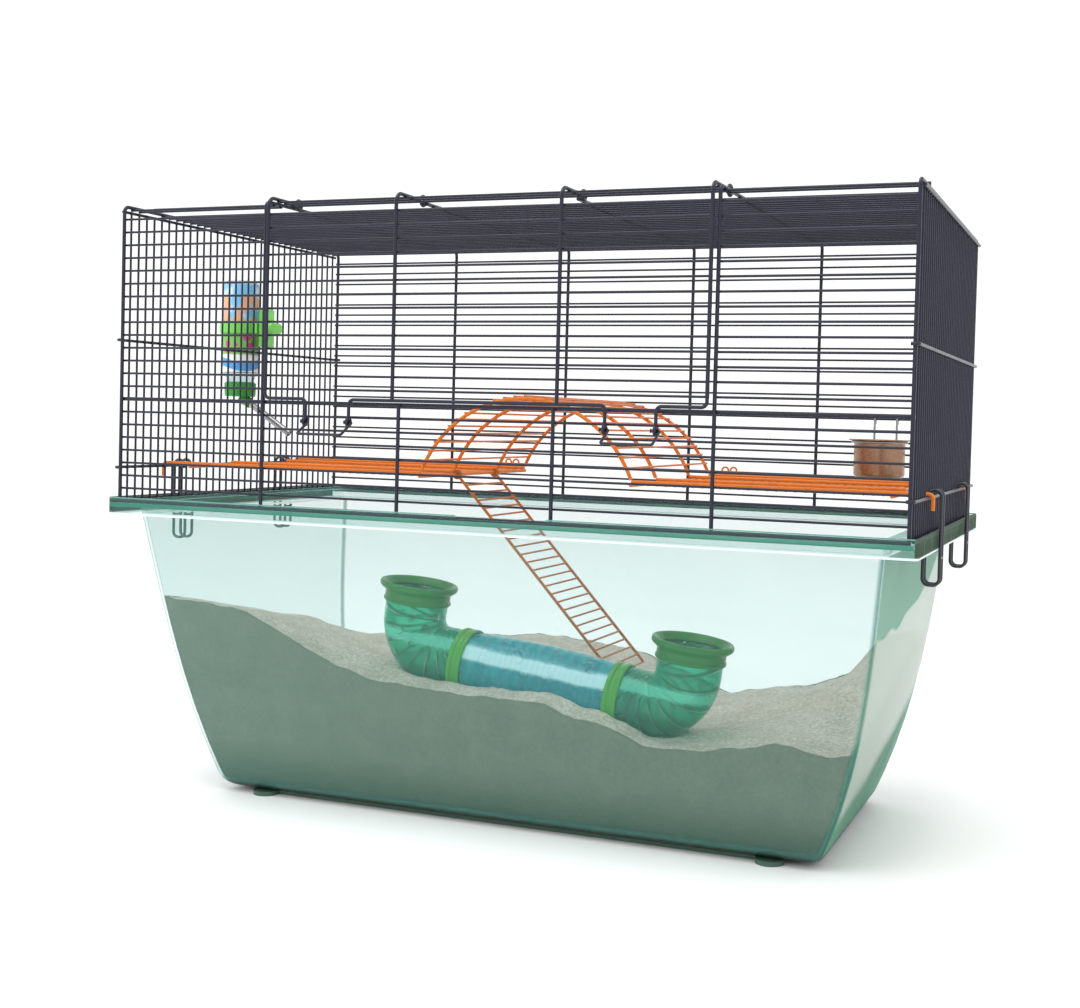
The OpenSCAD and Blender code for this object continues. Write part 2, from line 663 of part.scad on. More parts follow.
// Half section of a mouth ring: sleeve over the neck and a lip that rolls outwards
module mouth_ring_shape() {
  inner = tube_r + ring_gap;
  outer = inner + ring_t;
  top = mouth_h;
  translate([neck_x, 0, 0]) rotate_extrude() polygon([
    [inner, top - 20], [outer, top - 20], [outer, top - 8], [lip_r - 1.5, top - 5],
    [lip_r, top - 3], [lip_r - 1.5, top], [lip_r - 6, top - 1], [inner - 1.5, top - 6],
    [inner - 1.5, top - 7.9], [inner, top - 7.9]]);
}
module left_mouth_ring() {
  color("#3fa535") tunnel_place() mirror([1, 0, 0]) mouth_ring_shape();
}
module right_mouth_ring() { color("#3fa535") tunnel_place() mouth_ring_shape(); }
module coupling_shape() {
  inner = tube_r + ring_gap;
  outer = inner + ring_t;
  half = ring_w / 2;
  translate([middle_half, 0, 0]) rotate([0, 90, 0]) rotate_extrude() polygon([
    [inner, -half], [outer - 0.8, -half], [outer, -half + 1], [outer, -half * 0.35],
    [outer - 1, -half * 0.2], [outer - 1, half * 0.2], [outer, half * 0.35],
    [outer, half - 1], [outer - 0.8, half], [inner, half]]);
}
module left_coupling() {
  color("#7cc242") tunnel_place() mirror([1, 0, 0]) coupling_shape();
}
module right_coupling() { color("#7cc242") tunnel_place() coupling_shape(); }
// Middle tube with a gentle belly between its two plain ends
module middle_tube() {
  plain = ring_w / 2 + 1;
  swell = middle_half - plain;
  steps = 12;
  outer = [for (i = [0 : steps]) let (t = 2 * i / steps - 1)
    [tube_r + belly * (1 - t * t), t * swell]];
  inner = [for (i = [steps : -1 : 0]) [outer[i][0] - tube_wall, outer[i][1]]];
  color([0.25, 0.62, 0.8, 0.55]) tunnel_place() rotate([0, 90, 0]) rotate_extrude()
    polygon(concat([[tube_r, -middle_half + 0.1]], outer, [[tube_r, middle_half - 0.1],
      [tube_r - tube_wall, middle_half - 0.1]], inner, [[tube_r - tube_wall, -middle_half + 0.1]]));
}

// ---- shelves, arch and ladder ----
function shelf_lines() = [-shelf_outer, -shelf_inner, shelf_inner, shelf_outer];
module shelf(x0, x1) {
  count = floor((x1 - x0 - 6) / rung_pitch);
  start = x0 + (x1 - x0 - (count - 1) * rung_pitch) / 2;
  for (y = shelf_lines()) wire_x(x0, x1, y, shelf_z, shelf_d);
  for (i = [0 : count - 1])
    wire_y(start + i * rung_pitch, -shelf_outer - 1.2, shelf_outer + 1.2,
      shelf_z - rung_drop, rung_d);
}
// Hook that leaves the shelf, passes between the end bars and drops outside the brace
module shelf_hooks(x0) {
  over = brace_x + brace_d / 2 + shelf_d / 2 + 1;
  for (y = [-shelf_outer, shelf_outer])
    in_xz(y) bent_wire([[x0, shelf_z], [over, shelf_z], [over, shelf_z - shelf_hook]], 4, shelf_d);
}
// Heavy wire welded under the ends of the long wires
module border(x) {
  wire_y(x, -shelf_outer - 2.2, shelf_outer + 2.2, border_z, shelf_d);
}
// Pair of small loops standing on the back wire
module curl(x) {
  r = 3.4;
  for (s = [-1, 1])
    translate([x + s * (r + 1.2), shelf_outer, shelf_z + shelf_d / 2 + r + 0.6]) eye_y(r, rung_d);
}
module left_shelf() {
  color("#e07b28") union() {
    shelf(-shelf_x, arch_left);
    border(-shelf_x);
    border(arch_left);
    mirror([1, 0, 0]) shelf_hooks(shelf_x);
    curl(arch_left - 15);
  }
}
module right_shelf() {
  color("#e07b28") union() {
    shelf(arch_right, shelf_x);
    border(arch_right);
    border(shelf_x);
    shelf_hooks(shelf_x);
    curl(arch_right + 23);
  }
}
module arch_bridge() {
  trim = 1.9 * 180 / (PI * arch_r);
  sweep = arch_half - trim;
  count = floor(2 * sweep * PI * arch_r / 180 / arch_pitch);
  step = 2 * sweep / count;
  color("#e07b28") union() {
    for (y = shelf_lines())
      translate([arch_mid, y, arch_z]) rotate([90, 0, 0]) rotate([0, 0, 90 - sweep])
        rotate_extrude(angle = 2 * sweep) translate([arch_r, 0]) circle(d = shelf_d);
    for (i = [1 : count - 1]) let (a = -sweep + i * step)
      wire_y(arch_mid + (arch_r + rung_drop) * sin(a), -shelf_outer - 1.2, shelf_outer + 1.2,
        arch_z + (arch_r + rung_drop) * cos(a), rung_d);
  }
}
module ladder() {
  count = floor((ladder_len - 14) / ladder_pitch);
  color("#c9692a") translate([ladder_x, 0, border_z]) rotate([0, ladder_angle, 0]) union() {
    for (y = [-ladder_half, ladder_half]) {
      translate([0, y, 0]) eye_y(ladder_eye, rail_d + eye_extra);
      wire_x(ladder_eye, ladder_len, y, 0, rail_d);
    }
    for (i = [0 : count])
      wire_y(ladder_len - i * ladder_pitch, -ladder_half, ladder_half, 0, rung_d);
  }
}

// ---- water bottle ----
module at_bottle(z) { translate([bottle_x, bottle_y, z]) children(); }
module bottle_body() {
  r = bottle_r - 0.4;
  neck = cap_r - 2.2;
  low = bottle_shoulder - neck_h + 0.2;
  neck_end = cap_low + cap_floor + touch_gap;
  color([0.85, 0.93, 0.95, 0.4]) at_bottle(0) rotate_extrude() polygon([
    [neck - bottle_wall, neck_end], [neck, neck_end], [neck, low + 3],
    [r - 2, bottle_shoulder - 3], [r, bottle_shoulder], [r, bottle_top_z - 4],
    [r - 3, bottle_top_z], [0, bottle_top_z], [0, bottle_top_z - bottle_wall],
    [r - 3.5, bottle_top_z - bottle_wall], [r - bottle_wall, bottle_top_z - 4.5],
    [r - bottle_wall, bottle_shoulder + 0.5], [r - 2.5 - bottle_wall, bottle_shoulder - 2.5],
    [neck - bottle_wall, low + 4]]);
}
module bottle_label() {
  color("#4fa8dc") at_bottle(bottle_shoulder + 1) difference() {
    cylinder(h = bottle_top - shoulder_z - 6, r = bottle_r);
    translate([0, 0, -1]) cylinder(h = bottle_top - shoulder_z, r = bottle_r - 0.35);
  }
}
module sip_place() {
  at_bottle(cap_low + 1) rotate([0, 90 + sip_angle, 0]) children();
}
module bottle_cap() {
  color("#2f9e3a") difference() {
    union() {
      at_bottle(cap_low) cylinder(h = cap_h, r = cap_r);
      sip_place() cylinder(h = 18, r1 = 8.5, r2 = 5.6);
    }
    at_bottle(cap_low + cap_floor) cylinder(h = cap_h, r = cap_r - 2.1);
    sip_place() translate([0, 0, -2]) cylinder(h = 30, r = sip_r + 0.05);
  }
}
module sipper_tube() {
  color("#c9ccd0") sip_place() difference() {
    translate([0, 0, 2]) cylinder(h = sip_len + 16, r = sip_r);
    translate([0, 0, 1]) cylinder(h = sip_len + 18, r = sip_r - 0.8);
  }
}
module sipper_ball() {
  color("#d8dadd") sip_place() translate([0, 0, sip_len + 15]) sphere(r = sip_r - 0.9);
}
module bottle_bracket() {
  inner = bottle_r + band_gap;
  outer = inner + band_t;
  z = seat_z + band_z;
  arm_y = end_step / 2 - bar_r - 1;
  panel_out = end_bar_x + bar_r + safe_gap;
  color("#3cb034") union() {
    difference() {
      union() {
        at_bottle(z) cylinder(h = band_h, r = outer);
        translate([bottle_x, bottle_y - 10, z]) cube([-panel_out - bottle_x, 20, band_h]);
        translate([bottle_x, bottle_y - arm_y, z + 1])
          cube([-half_x + bar_r + 1 - bottle_x, 2 * arm_y, band_h - 2]);
      }
      at_bottle(z - 1) cylinder(h = band_h + 2, r = inner);
    }
  }
}
module bracket_clamp() {
  depth = 12;
  x = -half_x + bar_r + 1.05;
  z = seat_z + band_z + band_h / 2;
  color("#3cb034") union() {
    translate([x, bottle_y - 13, z - 22]) cube([4, 26, 44]);
    for (s = [-1, 1]) translate([x + 3.5, bottle_y + s * 6.5, z]) rotate([0, 90, 0])
      cylinder(h = depth, r = 6);
    translate([x + 3.5, bottle_y - 6.5, z - 6]) cube([depth, 13, 12]);
  }
}

// ---- food bowl ----
module food_bowl() {
  color("#c7c9cc") translate([bowl_x, bowl_y, 0]) rotate_extrude() polygon([
    [0, bowl_z], [bowl_r - 3, bowl_z], [bowl_r, bowl_z + 3], [bowl_r, bowl_top - bowl_t],
    [bowl_flange - 1, bowl_top - bowl_t], [bowl_flange, bowl_top - bowl_t + 0.5],
    [bowl_flange - 1, bowl_top + 0.6], [bowl_r, bowl_top + 0.2],
    [bowl_r - bowl_t, bowl_top - 1], [bowl_r - bowl_t, bowl_z + 3.4],
    [bowl_r - 3.4, bowl_z + bowl_t], [0, bowl_z + bowl_t]]);
}
// Ring that holds the bowl, with two hooks over a bar of the back panel
module bowl_hanger() {
  ring = bowl_r + (hanger_d + eye_extra) / 2 + bowl_gap;
  spread = 12;
  z = bowl_top - bowl_t - hanger_d / 2 - 0.3;
  back_y = half_y - bar_in;
  reach = bar_r + hanger_d / 2 + 0.3;
  hook_z = seat_z + main_bar * bar_step + reach;
  color("#b9bcc0") union() {
    translate([bowl_x, bowl_y, z]) rotate_extrude() translate([ring, 0])
      circle(d = hanger_d + eye_extra);
    for (s = [-1, 1])
      in_yz(bowl_x + s * spread) bent_wire([[bowl_y + sqrt(ring * ring - spread * spread), z],
        [back_y - reach, z], [back_y - reach, hook_z], [back_y + reach, hook_z],
        [back_y + reach, hook_z - 8]], 2.2, hanger_d);
  }
}

base_tub();
feet();
bedding();
front_panel();
roof_panel();
back_panel();
left_panel();
right_panel();
door();
door_latch_left();
door_latch_right();
rim_clip_front_left();
rim_clip_back_left();
rim_clip_front_right();
rim_clip_back_right();
left_shelf();
arch_bridge();
right_shelf();
ladder();
left_mouth_ring();
left_elbow();
left_coupling();
middle_tube();
right_coupling();
right_elbow();
right_mouth_ring();
bottle_body();
bottle_label();
bottle_cap();
sipper_tube();
sipper_ball();
bottle_bracket();
bracket_clamp();
food_bowl();
bowl_hanger();
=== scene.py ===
# %% [markdown]
# # Hamster cage
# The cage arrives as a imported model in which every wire, tube and bowl already has its
# place and size. This lesson gives those pieces their finishes, and models again the
# pieces whose shape the plain model only roughs out: the tub, the bedding, the tunnel,
# the bottle and the bowl. Lengths are metres, the door side faces -Y.

# %% Load the frame
import math
import bmesh
import bpy
from mathutils import Matrix, Vector, noise


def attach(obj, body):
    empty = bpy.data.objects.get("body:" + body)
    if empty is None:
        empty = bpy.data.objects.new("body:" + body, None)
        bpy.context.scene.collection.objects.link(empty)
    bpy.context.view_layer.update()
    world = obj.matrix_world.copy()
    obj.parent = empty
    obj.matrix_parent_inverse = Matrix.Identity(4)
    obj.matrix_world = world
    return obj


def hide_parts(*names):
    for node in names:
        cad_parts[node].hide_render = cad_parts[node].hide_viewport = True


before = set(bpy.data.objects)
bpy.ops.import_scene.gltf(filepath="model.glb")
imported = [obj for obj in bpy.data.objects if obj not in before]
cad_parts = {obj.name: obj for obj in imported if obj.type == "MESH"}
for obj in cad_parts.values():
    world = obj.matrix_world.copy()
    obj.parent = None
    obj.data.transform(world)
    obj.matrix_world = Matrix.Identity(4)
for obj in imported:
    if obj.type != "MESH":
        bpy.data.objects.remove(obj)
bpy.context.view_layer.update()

# %% [markdown]
# ## Writing materials as expressions
# A finish is mostly arithmetic: how worn, how rough, how dark here. Wiring Math nodes by
# hand hides that arithmetic, so a socket is wrapped in a small class with operators, and
# every other node comes from one method that takes its type, settings and values.

# %% Socket arithmetic
class Value:
    def __init__(self, paint, socket):
        self.paint = paint
        self.socket = socket

    def math(self, operation, a, b=None):
        values = {0: a} if b is None else {0: a, 1: b}
        return self.paint.node("Math", {"operation": operation}, values)

    def __add__(self, other): return self.math("ADD", self, other)
    def __radd__(self, other): return self.math("ADD", other, self)
    def __sub__(self, other): return self.math("SUBTRACT", self, other)
    def __rsub__(self, other): return self.math("SUBTRACT", other, self)
    def __mul__(self, other): return self.math("MULTIPLY", self, other)
    def __rmul__(self, other): return self.math("MULTIPLY", other, self)
    def __truediv__(self, other): return self.math("DIVIDE", self, other)
    def __pow__(self, other): return self.math("POWER", self, other)

    def over(self, edge, width):
        """0 below the edge, 1 above it, with a soft step of this width."""
        return self.paint.node("MapRange", {"interpolation_type": "SMOOTHSTEP"},
                               {0: self, 1: edge - width / 2, 2: edge + width / 2})

    def max(self, other): return self.math("MAXIMUM", self, other)
    def min(self, other): return self.math("MINIMUM", self, other)
    def abs(self): return self.math("ABSOLUTE", self)
    def sin(self): return self.math("SINE", self)
    def held(self):
        """Held between 0 and 1."""
        return self.max(0.0).min(1.0)


class Paint:
    """A material under construction."""
    def __init__(self, name):
        self.material = bpy.data.materials.new(name)
        self.material.use_nodes = True
        self.tree = self.material.node_tree
        self.tree.nodes.clear()
        self.place = self.node("TexCoord", {}, {}, "Object")

    def node(self, kind, settings=None, values=None, output=0):
        made = self.tree.nodes.new("ShaderNode" + kind)
        for key, value in (settings or {}).items():
            setattr(made, key, value)
        for key, value in (values or {}).items():
            if isinstance(value, Value):
                self.tree.links.new(value.socket, made.inputs[key])
            elif value is not None:
                socket = made.inputs[key]
                if socket.type == "RGBA" and len(value) == 3:
                    value = (*value, 1.0)
                socket.default_value = value
        return Value(self, made.outputs[output])

    def axes(self, vector=None):
        made = self.tree.nodes.new("ShaderNodeSeparateXYZ")
        self.tree.links.new((vector or self.place).socket, made.inputs[0])
        return [Value(self, made.outputs[i]) for i in range(3)]

    def cloud(self, size, detail=3.0, rough=0.5, stretch=(1, 1, 1)):
        """Soft noise whose features are about this many metres across."""
        at = self.node("Mapping", {}, {0: self.place, 3: stretch})
        return self.node("TexNoise", {}, {"Vector": at, "Scale": 1 / size, "Detail": detail,
                                          "Roughness": rough})

    def cells(self, size):
        """Distance to scattered points this many metres apart."""
        return self.node("TexVoronoi", {}, {"Vector": self.place, "Scale": 1 / size}, "Distance")

    def mix(self, amount, a, b):
        """Colour a where amount is 0, colour b where it is 1."""
        made = self.tree.nodes.new("ShaderNodeMix")
        made.data_type = "RGBA"
        for index, value in ((0, amount), (6, a), (7, b)):
            socket = made.inputs[index]
            if isinstance(value, Value):
                self.tree.links.new(value.socket, socket)
            elif index == 0:
                socket.default_value = value
            else:
                socket.default_value = (*value[:3], 1.0)
        return Value(self, made.outputs[2])

    def bump(self, height, strength, distance):
        return self.node("Bump", {},
                         {"Strength": strength, "Distance": distance, "Height": height})

    def surface(self, **values):
        """A Principled shader; names are written with underscores."""
        named = {name.replace("_", " "): value for name, value in values.items()}
        return self.node("BsdfPrincipled", {}, named)

    def done(self, shader):
        out = self.tree.nodes.new("ShaderNodeOutputMaterial")
        self.tree.links.new(shader.socket, out.inputs[0])
        print("finish", self.material.name)
        return self.material


# %% [markdown]
# ## Camera, floor and light
# The cage stands on a white studio sweep. A white world gives the even fill, one wide
# lamp above gives the wires and the rim their highlights, and a large floor catches the
# soft shadow under the tub.

# %% Camera
def view_from(place, right, down, ahead):
    down_up = [-v for v in down]
    back = [-v for v in ahead]
    turn = Matrix((right, down_up, back)).transposed().to_4x4()
    return Matrix.Translation(place) @ turn

eye = bpy.data.objects.new("camera", bpy.data.cameras.new("camera"))
bpy.context.scene.collection.objects.link(eye)
eye.matrix_world = view_from((0.56610, -1.38973, 0.39205),
                             (0.93074294, 0.36474232, 0.02608883),
                             (0.03521191, -0.01838283, -0.99921079),
                             (-0.36397487, 0.93092702, -0.02995296))
eye.data.sensor_width = 36.0
eye.data.lens = 48.225
eye.data.shift_x = -0.0361
eye.data.shift_y = -0.0369
eye.data.clip_end = 50.0
bpy.context.scene.camera = eye
print("camera", tuple(round(v, 3) for v in eye.matrix_world.translation))

# %% Floor, world and lamps
bpy.context.scene.view_settings.view_transform = "Standard"

def plain_floor():
    bm = bmesh.new()
    bmesh.ops.create_grid(bm, x_segments=1, y_segments=1, size=12.0)
    mesh = bpy.data.meshes.new("floor")
    bm.to_mesh(mesh)
    bm.free()
    floor = bpy.data.objects.new("floor", mesh)
    bpy.context.scene.collection.objects.link(floor)
    paint = Paint("studio_floor")
    soft = paint.cloud(0.6)
    mesh.materials.append(paint.done(paint.surface(
        Base_Color=paint.mix(soft, (0.93, 0.94, 0.94), (0.95, 0.95, 0.95)), Roughness=0.6)))
    return floor

def lamp(name, place, target, size, power, glossy=True):
    data = bpy.data.lights.new(name, "AREA")
    data.shape = "RECTANGLE"
    data.size, data.size_y = size
    data.energy = power
    lamp = bpy.data.objects.new(name, data)
    bpy.context.scene.collection.objects.link(lamp)
    lamp.location = place
    lamp.visible_glossy = glossy
    lamp.rotation_euler = (Vector(target) - Vector(place)).to_track_quat("-Z", "Y").to_euler()
    print("lamp", name, power)

floor = plain_floor()
world = bpy.data.worlds.new("studio")
world.use_nodes = True
world.node_tree.nodes["Background"].inputs[0].default_value = (1.0, 1.0, 1.0, 1.0)
world.node_tree.nodes["Background"].inputs[1].default_value = 1.12
bpy.context.scene.world = world
lamp("top", (-0.3, -0.6, 2.6), (0, 0, 0.2), (2.4, 1.6), 34)
lamp("front_left", (-1.6, -2.4, 2.0), (0, 0, 0.3), (1.6, 1.8), 18, glossy=False)

# %% [markdown]
# ## Paint on wire
# The wires are mild steel dipped or sprayed with a thick glossy coat. The coat pulls
# slightly at the welds and carries a fine orange-peel ripple; where wires rub, it is
# thinner and a little duller. One recipe serves the dark wires and the orange ones.

# %% Coated wire
def coated_wire(name, colour, dull, gloss=0.3, coat=0.15, level=0.28):
    paint = Paint(name)
    drift = paint.cloud(0.09, detail=2.0)
    speck = paint.cloud(0.0022, detail=2.0)
    rub = paint.cloud(0.012, detail=4.0, rough=0.65).over(0.62, 0.12)
    base = paint.mix((drift * 0.55 + rub * 0.45).held(), colour, dull)
    return paint.done(paint.surface(
        Base_Color=base, Roughness=gloss + speck * 0.1 + rub * 0.16, Specular_IOR_Level=level,
        Coat_Weight=coat, Coat_Roughness=0.12,
        Normal=paint.bump(speck, 0.06, 0.0003)))

dark_wire = coated_wire("black_wire_coat", (0.010, 0.011, 0.024), (0.020, 0.022, 0.042))
latch_coat = coated_wire("latch_wire_coat", (0.010, 0.011, 0.020), (0.022, 0.024, 0.038),
                         0.24, 0.4)
clip_coat = coated_wire("clip_wire_coat", (0.009, 0.010, 0.018), (0.022, 0.024, 0.036), 0.24, 0.5)
orange_coat = coated_wire("shelf_wire_coat", (0.74, 0.185, 0.012), (0.56, 0.12, 0.008), 0.34, 0.1)
ladder_coat = coated_wire("ladder_wire_coat", (0.50, 0.145, 0.02), (0.38, 0.10, 0.015), 0.4, 0.1)

def finish(material, *names):
    for name in names:
        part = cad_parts[name]
        if not part.data.materials:
            part.data.materials.append(material)
        for index in range(len(part.material_slots)):
            part.material_slots[index].material = material
    print(material.name, "on", len(names), "nodes")

finish(dark_wire, "front_panel", "roof_panel", "back_panel", "left_panel", "right_panel", "door")
finish(latch_coat, "door_latch_left", "door_latch_right")
finish(clip_coat, "rim_clip_front_left", "rim_clip_back_left", "rim_clip_front_right",
       "rim_clip_back_right")
finish(orange_coat, "left_shelf", "arch_bridge", "right_shelf")
finish(ladder_coat, "ladder")

# %% [markdown]
# ## Steel
# The bowl is spun sheet, the drinking tube drawn pipe. Both are polished, with faint
# turning lines, so the metal shader gets roughness streaks that run around the part.

# %% Polished steel
def steel(name, colour, rough, lines):
    paint = Paint(name)
    streak = paint.cloud(0.004, detail=2.0, stretch=lines)
    smear = paint.cloud(0.015, detail=3.0)
    return paint.done(paint.surface(
        Base_Color=paint.mix(smear, colour, tuple(v * 0.86 for v in colour)), Metallic=1.0,
        Roughness=rough + streak * 0.14 + smear * 0.08,
        Normal=paint.bump(streak, 0.05, 0.0002)))

# The bowl is grey steel; the orange-brown of its colour here is a painted reflection of the
# orange shelves.
bowl_steel = steel("bowl_steel", (0.40, 0.24, 0.155), 0.16, (1, 1, 12))
tube_steel = steel("drinking_tube_steel", (0.34, 0.34, 0.35), 0.12, (6, 1, 1))
hook_steel = steel("hanger_wire_steel", (0.40, 0.41, 0.42), 0.25, (1, 1, 4))
finish(hook_steel, "bowl_hanger")
finish(tube_steel, "sipper_tube", "sipper_ball")

# %% [markdown]
# ## Making meshes
# Most round pieces here are spun from half a section, and the tub and the bedding grow
# from one rounded outline that is extruded from level to level. These helpers hold the
# steps that repeat: turn a bmesh into a named piece, spin a section, and lift an outline.

# %% Pieces from bmesh
MM = 0.001

def as_piece(name, bm, material, body, stands_for=(), sharp=35, clean=True):
    if clean:
        bmesh.ops.recalc_face_normals(bm, faces=bm.faces)
    mesh = bpy.data.meshes.new(name)
    bm.to_mesh(mesh)
    bm.free()
    for face in mesh.polygons:
        face.use_smooth = True
    mesh.set_sharp_from_angle(angle=math.radians(sharp))
    mesh.materials.append(material)
    made = bpy.data.objects.new(name, mesh)
    bpy.context.scene.collection.objects.link(made)
    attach(made, body)
    if stands_for:
        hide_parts(*stands_for)
    print(name, len(mesh.polygons), "faces")
    return made

def spun(section, steps=64):
    """Spins a closed half section, or one that starts and ends on the axis, around Z."""
    bm = bmesh.new()
    verts = [bm.verts.new((r * MM, 0, z * MM)) for r, z in section]
    for a, b in zip(verts, verts[1:]):
        bm.edges.new((a, b))
    if section[0][0] > 0:
        bm.edges.new((verts[-1], verts[0]))
    bmesh.ops.spin(bm, geom=bm.verts[:] + bm.edges[:], cent=(0, 0, 0), axis=(0, 0, 1),
                   angle=math.tau, steps=steps, use_merge=True, use_duplicate=False)
    bmesh.ops.remove_doubles(bm, verts=bm.verts, dist=1e-6)
    return bm

def rounded(points, radius=1.0, count=3):
    """Rounds the inner corners of a section, the same radius at each."""
    out = [points[0]]
    for a, b, c in zip(points, points[1:], points[2:]):
        va, vb, vc = Vector(a), Vector(b), Vector(c)
        cut = min(radius, (va - vb).length * 0.45, (vc - vb).length * 0.45)
        p, q = vb + (va - vb).normalized() * cut, vb + (vc - vb).normalized() * cut
        for i in range(count + 1):
            t = i / count
            out.append(tuple(p * (1 - t) ** 2 + vb * 2 * t * (1 - t) + q * t ** 2))
    return out + [points[-1]]

# %% [markdown]
# ## Clear plastic
# The tub, the tunnel and the bottle are thin clear mouldings. What the eye sees is mostly
# what is behind them, a little tinted, with bright reflections at a glancing angle and
# darker edges where the view runs along the wall. So the shader mixes a tinted see-through
# part, the body of the plastic and a glossy part, and Layer Weight's Facing value sets how
# much of each shows. Facing acts the same on both sides of a wall. Fresnel would not: on
# the inside of a closed wall it turns whole areas into white mirrors.

# %% Clear moulding
def clear_plastic(name, tint, body, veil, edge=0.6, edge_power=3.0, rough=0.06, height=None,
                  strength=0.3, depth=0.0012, mask=None, tone=None, gloss_share=0.6,
                  level=0.3, calm=None):
    paint = Paint(name)
    drift = paint.cloud(0.12, detail=2.0)
    fine = paint.cloud(0.006, detail=3.0)
    scuff = paint.cloud(0.02, detail=6.0, rough=0.7).over(0.66, 0.1)
    relief = fine if height is None else height(paint) + fine * 0.05
    normal = paint.bump(relief, strength, depth)
    facing = paint.node("LayerWeight", {}, {"Blend": 0.5, "Normal": normal}, "Facing")
    shining = ((facing ** 5) * 0.9 + 0.035) * gloss_share
    if calm is not None:
        shining = shining * (1 - calm(paint))
    deep = (facing ** edge_power) * edge
    share = veil + deep + scuff * 0.03 + drift * 0.03
    if mask is not None:
        share = share.max(mask(paint))
    see = paint.node("BsdfTransparent", {}, {"Color": tint})
    colour = paint.mix(drift, body, tuple(v * 0.8 for v in body))
    if tone is not None:
        colour = tone(paint, colour)
    wall = paint.surface(Base_Color=colour, Roughness=rough + fine * 0.05 + scuff * 0.2,
                         Specular_IOR_Level=level, Normal=normal)
    shine = paint.node("BsdfGlossy", {},
                       {"Color": (1, 1, 1), "Roughness": rough, "Normal": normal})
    tinted = paint.node("MixShader", {}, {0: share.held(), 1: see, 2: wall})
    return paint.done(paint.node("MixShader", {}, {0: shining, 1: tinted, 2: shine}))

# %% [markdown]
# ## The tub
# The tub is one deep moulding: rounded corners, end walls that belly outwards, a flat
# floor, and a rim folded into a channel that the wire top sits in. It is lofted here from
# one rounded outline: each level of the section is an extrusion of the last face, moved to
# its new size, up the outside, over the rim and down the inside.

# %% Tub outline
TUB_TOP, FOOT, WALL = 297.9, 4.2, 3.0
END_TOP, END_LEAN, END_BELLY = 373, 62, 50
SIDE_TOP, SIDE_FOOT, FOOT_BEND, FOOT_TUCK = 203, 141.7, 24, 14

def depth_share(z):
    """0 at the rim, 1 at the foot; z in millimetres."""
    return (TUB_TOP - z) / (TUB_TOP - FOOT)

def end_line(t):
    """Half length of the tub at a depth share, which may be a number or a socket."""
    return END_TOP - END_LEAN * t + END_BELLY * t * (1 - t) * (0.55 + 0.9 * t)

def end_half(z, inset=0.0):
    """Half length of the tub at a height."""
    return end_line(depth_share(z)) - inset

def side_half(z, inset=0.0):
    """Half depth of the tub at a height."""
    low = FOOT + FOOT_BEND
    if z >= low:
        return SIDE_FOOT + (SIDE_TOP - SIDE_FOOT) * (z - low) / (TUB_TOP - low) - inset
    return SIDE_FOOT - FOOT_TUCK * ((low - z) / FOOT_BEND) ** 2.2 - inset

print("tub foot", end_half(FOOT), side_half(FOOT))

# %% One level to the next

def outline(hx, hy, z, r, steps=7):
    """A rounded rectangle as one face."""
    bm = bmesh.new()
    bmesh.ops.create_grid(bm, x_segments=1, y_segments=1, size=1.0)
    bmesh.ops.scale(bm, vec=(hx * MM, hy * MM, 1), verts=bm.verts)
    bmesh.ops.translate(bm, vec=(0, 0, z * MM), verts=bm.verts)
    bmesh.ops.bevel(bm, geom=bm.verts[:], offset=r * MM, offset_type="OFFSET", affect="VERTICES",
                    segments=steps, profile=0.5, material=-1)
    return bm

def lifted(bm, face, old, new):
    """Extrudes the face and moves it from one level to the next: half sizes, height, radius."""
    out = bmesh.ops.extrude_face_region(bm, geom=[face])
    bmesh.ops.delete(bm, geom=[face], context="FACES_ONLY")
    (hx, hy, _, r), (nx, ny, nz, nr) = old, new
    cap = next(g for g in out["geom"] if isinstance(g, bmesh.types.BMFace))
    for v in cap.verts:
        sx, sy = math.copysign(1, v.co.x), math.copysign(1, v.co.y)
        ox = (v.co.x / MM - sx * (hx - r)) / r
        oy = (v.co.y / MM - sy * (hy - r)) / r
        v.co = ((sx * (nx - nr) + ox * nr) * MM, (sy * (ny - nr) + oy * nr) * MM, nz * MM)
    return cap

# %% [markdown]
# The section is a list of levels, each with half length, half depth, height and corner
# radius: up the outside from the rounded foot, out and round the rim, then down the inside.

# %% Levels of the tub
WALL_LEVELS = (292, 270, 240, 210, 180, 150, 120, 90, 60, 34, 20, 13)
FOOT_LEVELS = ((4.2, 9.0), (5.0, 5.5), (6.6, 3.0), (9, 1.2))

def tub_levels():
    levels = [(end_half(z) - back, side_half(z) - back * 0.6, z, 9) for z, back in FOOT_LEVELS]
    levels += [(end_half(z), side_half(z), z, 9) for z in reversed(WALL_LEVELS)]
    levels += [(end_half(294.4) + 1, side_half(294.4) + 0.4, 295.4, 9), (397.6, 211.2, 295.4, 4),
               (397.6, 211.2, 287.2, 4), (398.2, 211.8, 286.4, 4), (399.4, 212.9, 286.4, 4.6),
               (400, 213.5, 287.2, 5), (400, 213.5, 303.1, 5), (399.3, 212.8, 303.9, 4.6),
               (398.3, 211.8, 303.9, 4), (397.5, 211, 303, 4), (397.5, 211, 298, 4),
               (375.5, 203.8, 298, 9), (373.4, 203.2, 299, 9), (373, 203, 301.8, 9),
               (372.2, 202.2, 302.4, 8), (370.8, 200.8, 302.4, 7), (370, 200, 301.6, 6)]
    levels += [(end_half(z, WALL), side_half(z, WALL), z, 6) for z in WALL_LEVELS]
    levels += [(end_half(9, WALL) - 0.8, side_half(9, WALL) - 0.8, 9.0, 6),
               (end_half(8, WALL) - 2.6, side_half(8, WALL) - 2.6, 7.2, 5)]
    return levels

print("tub levels", len(tub_levels()))

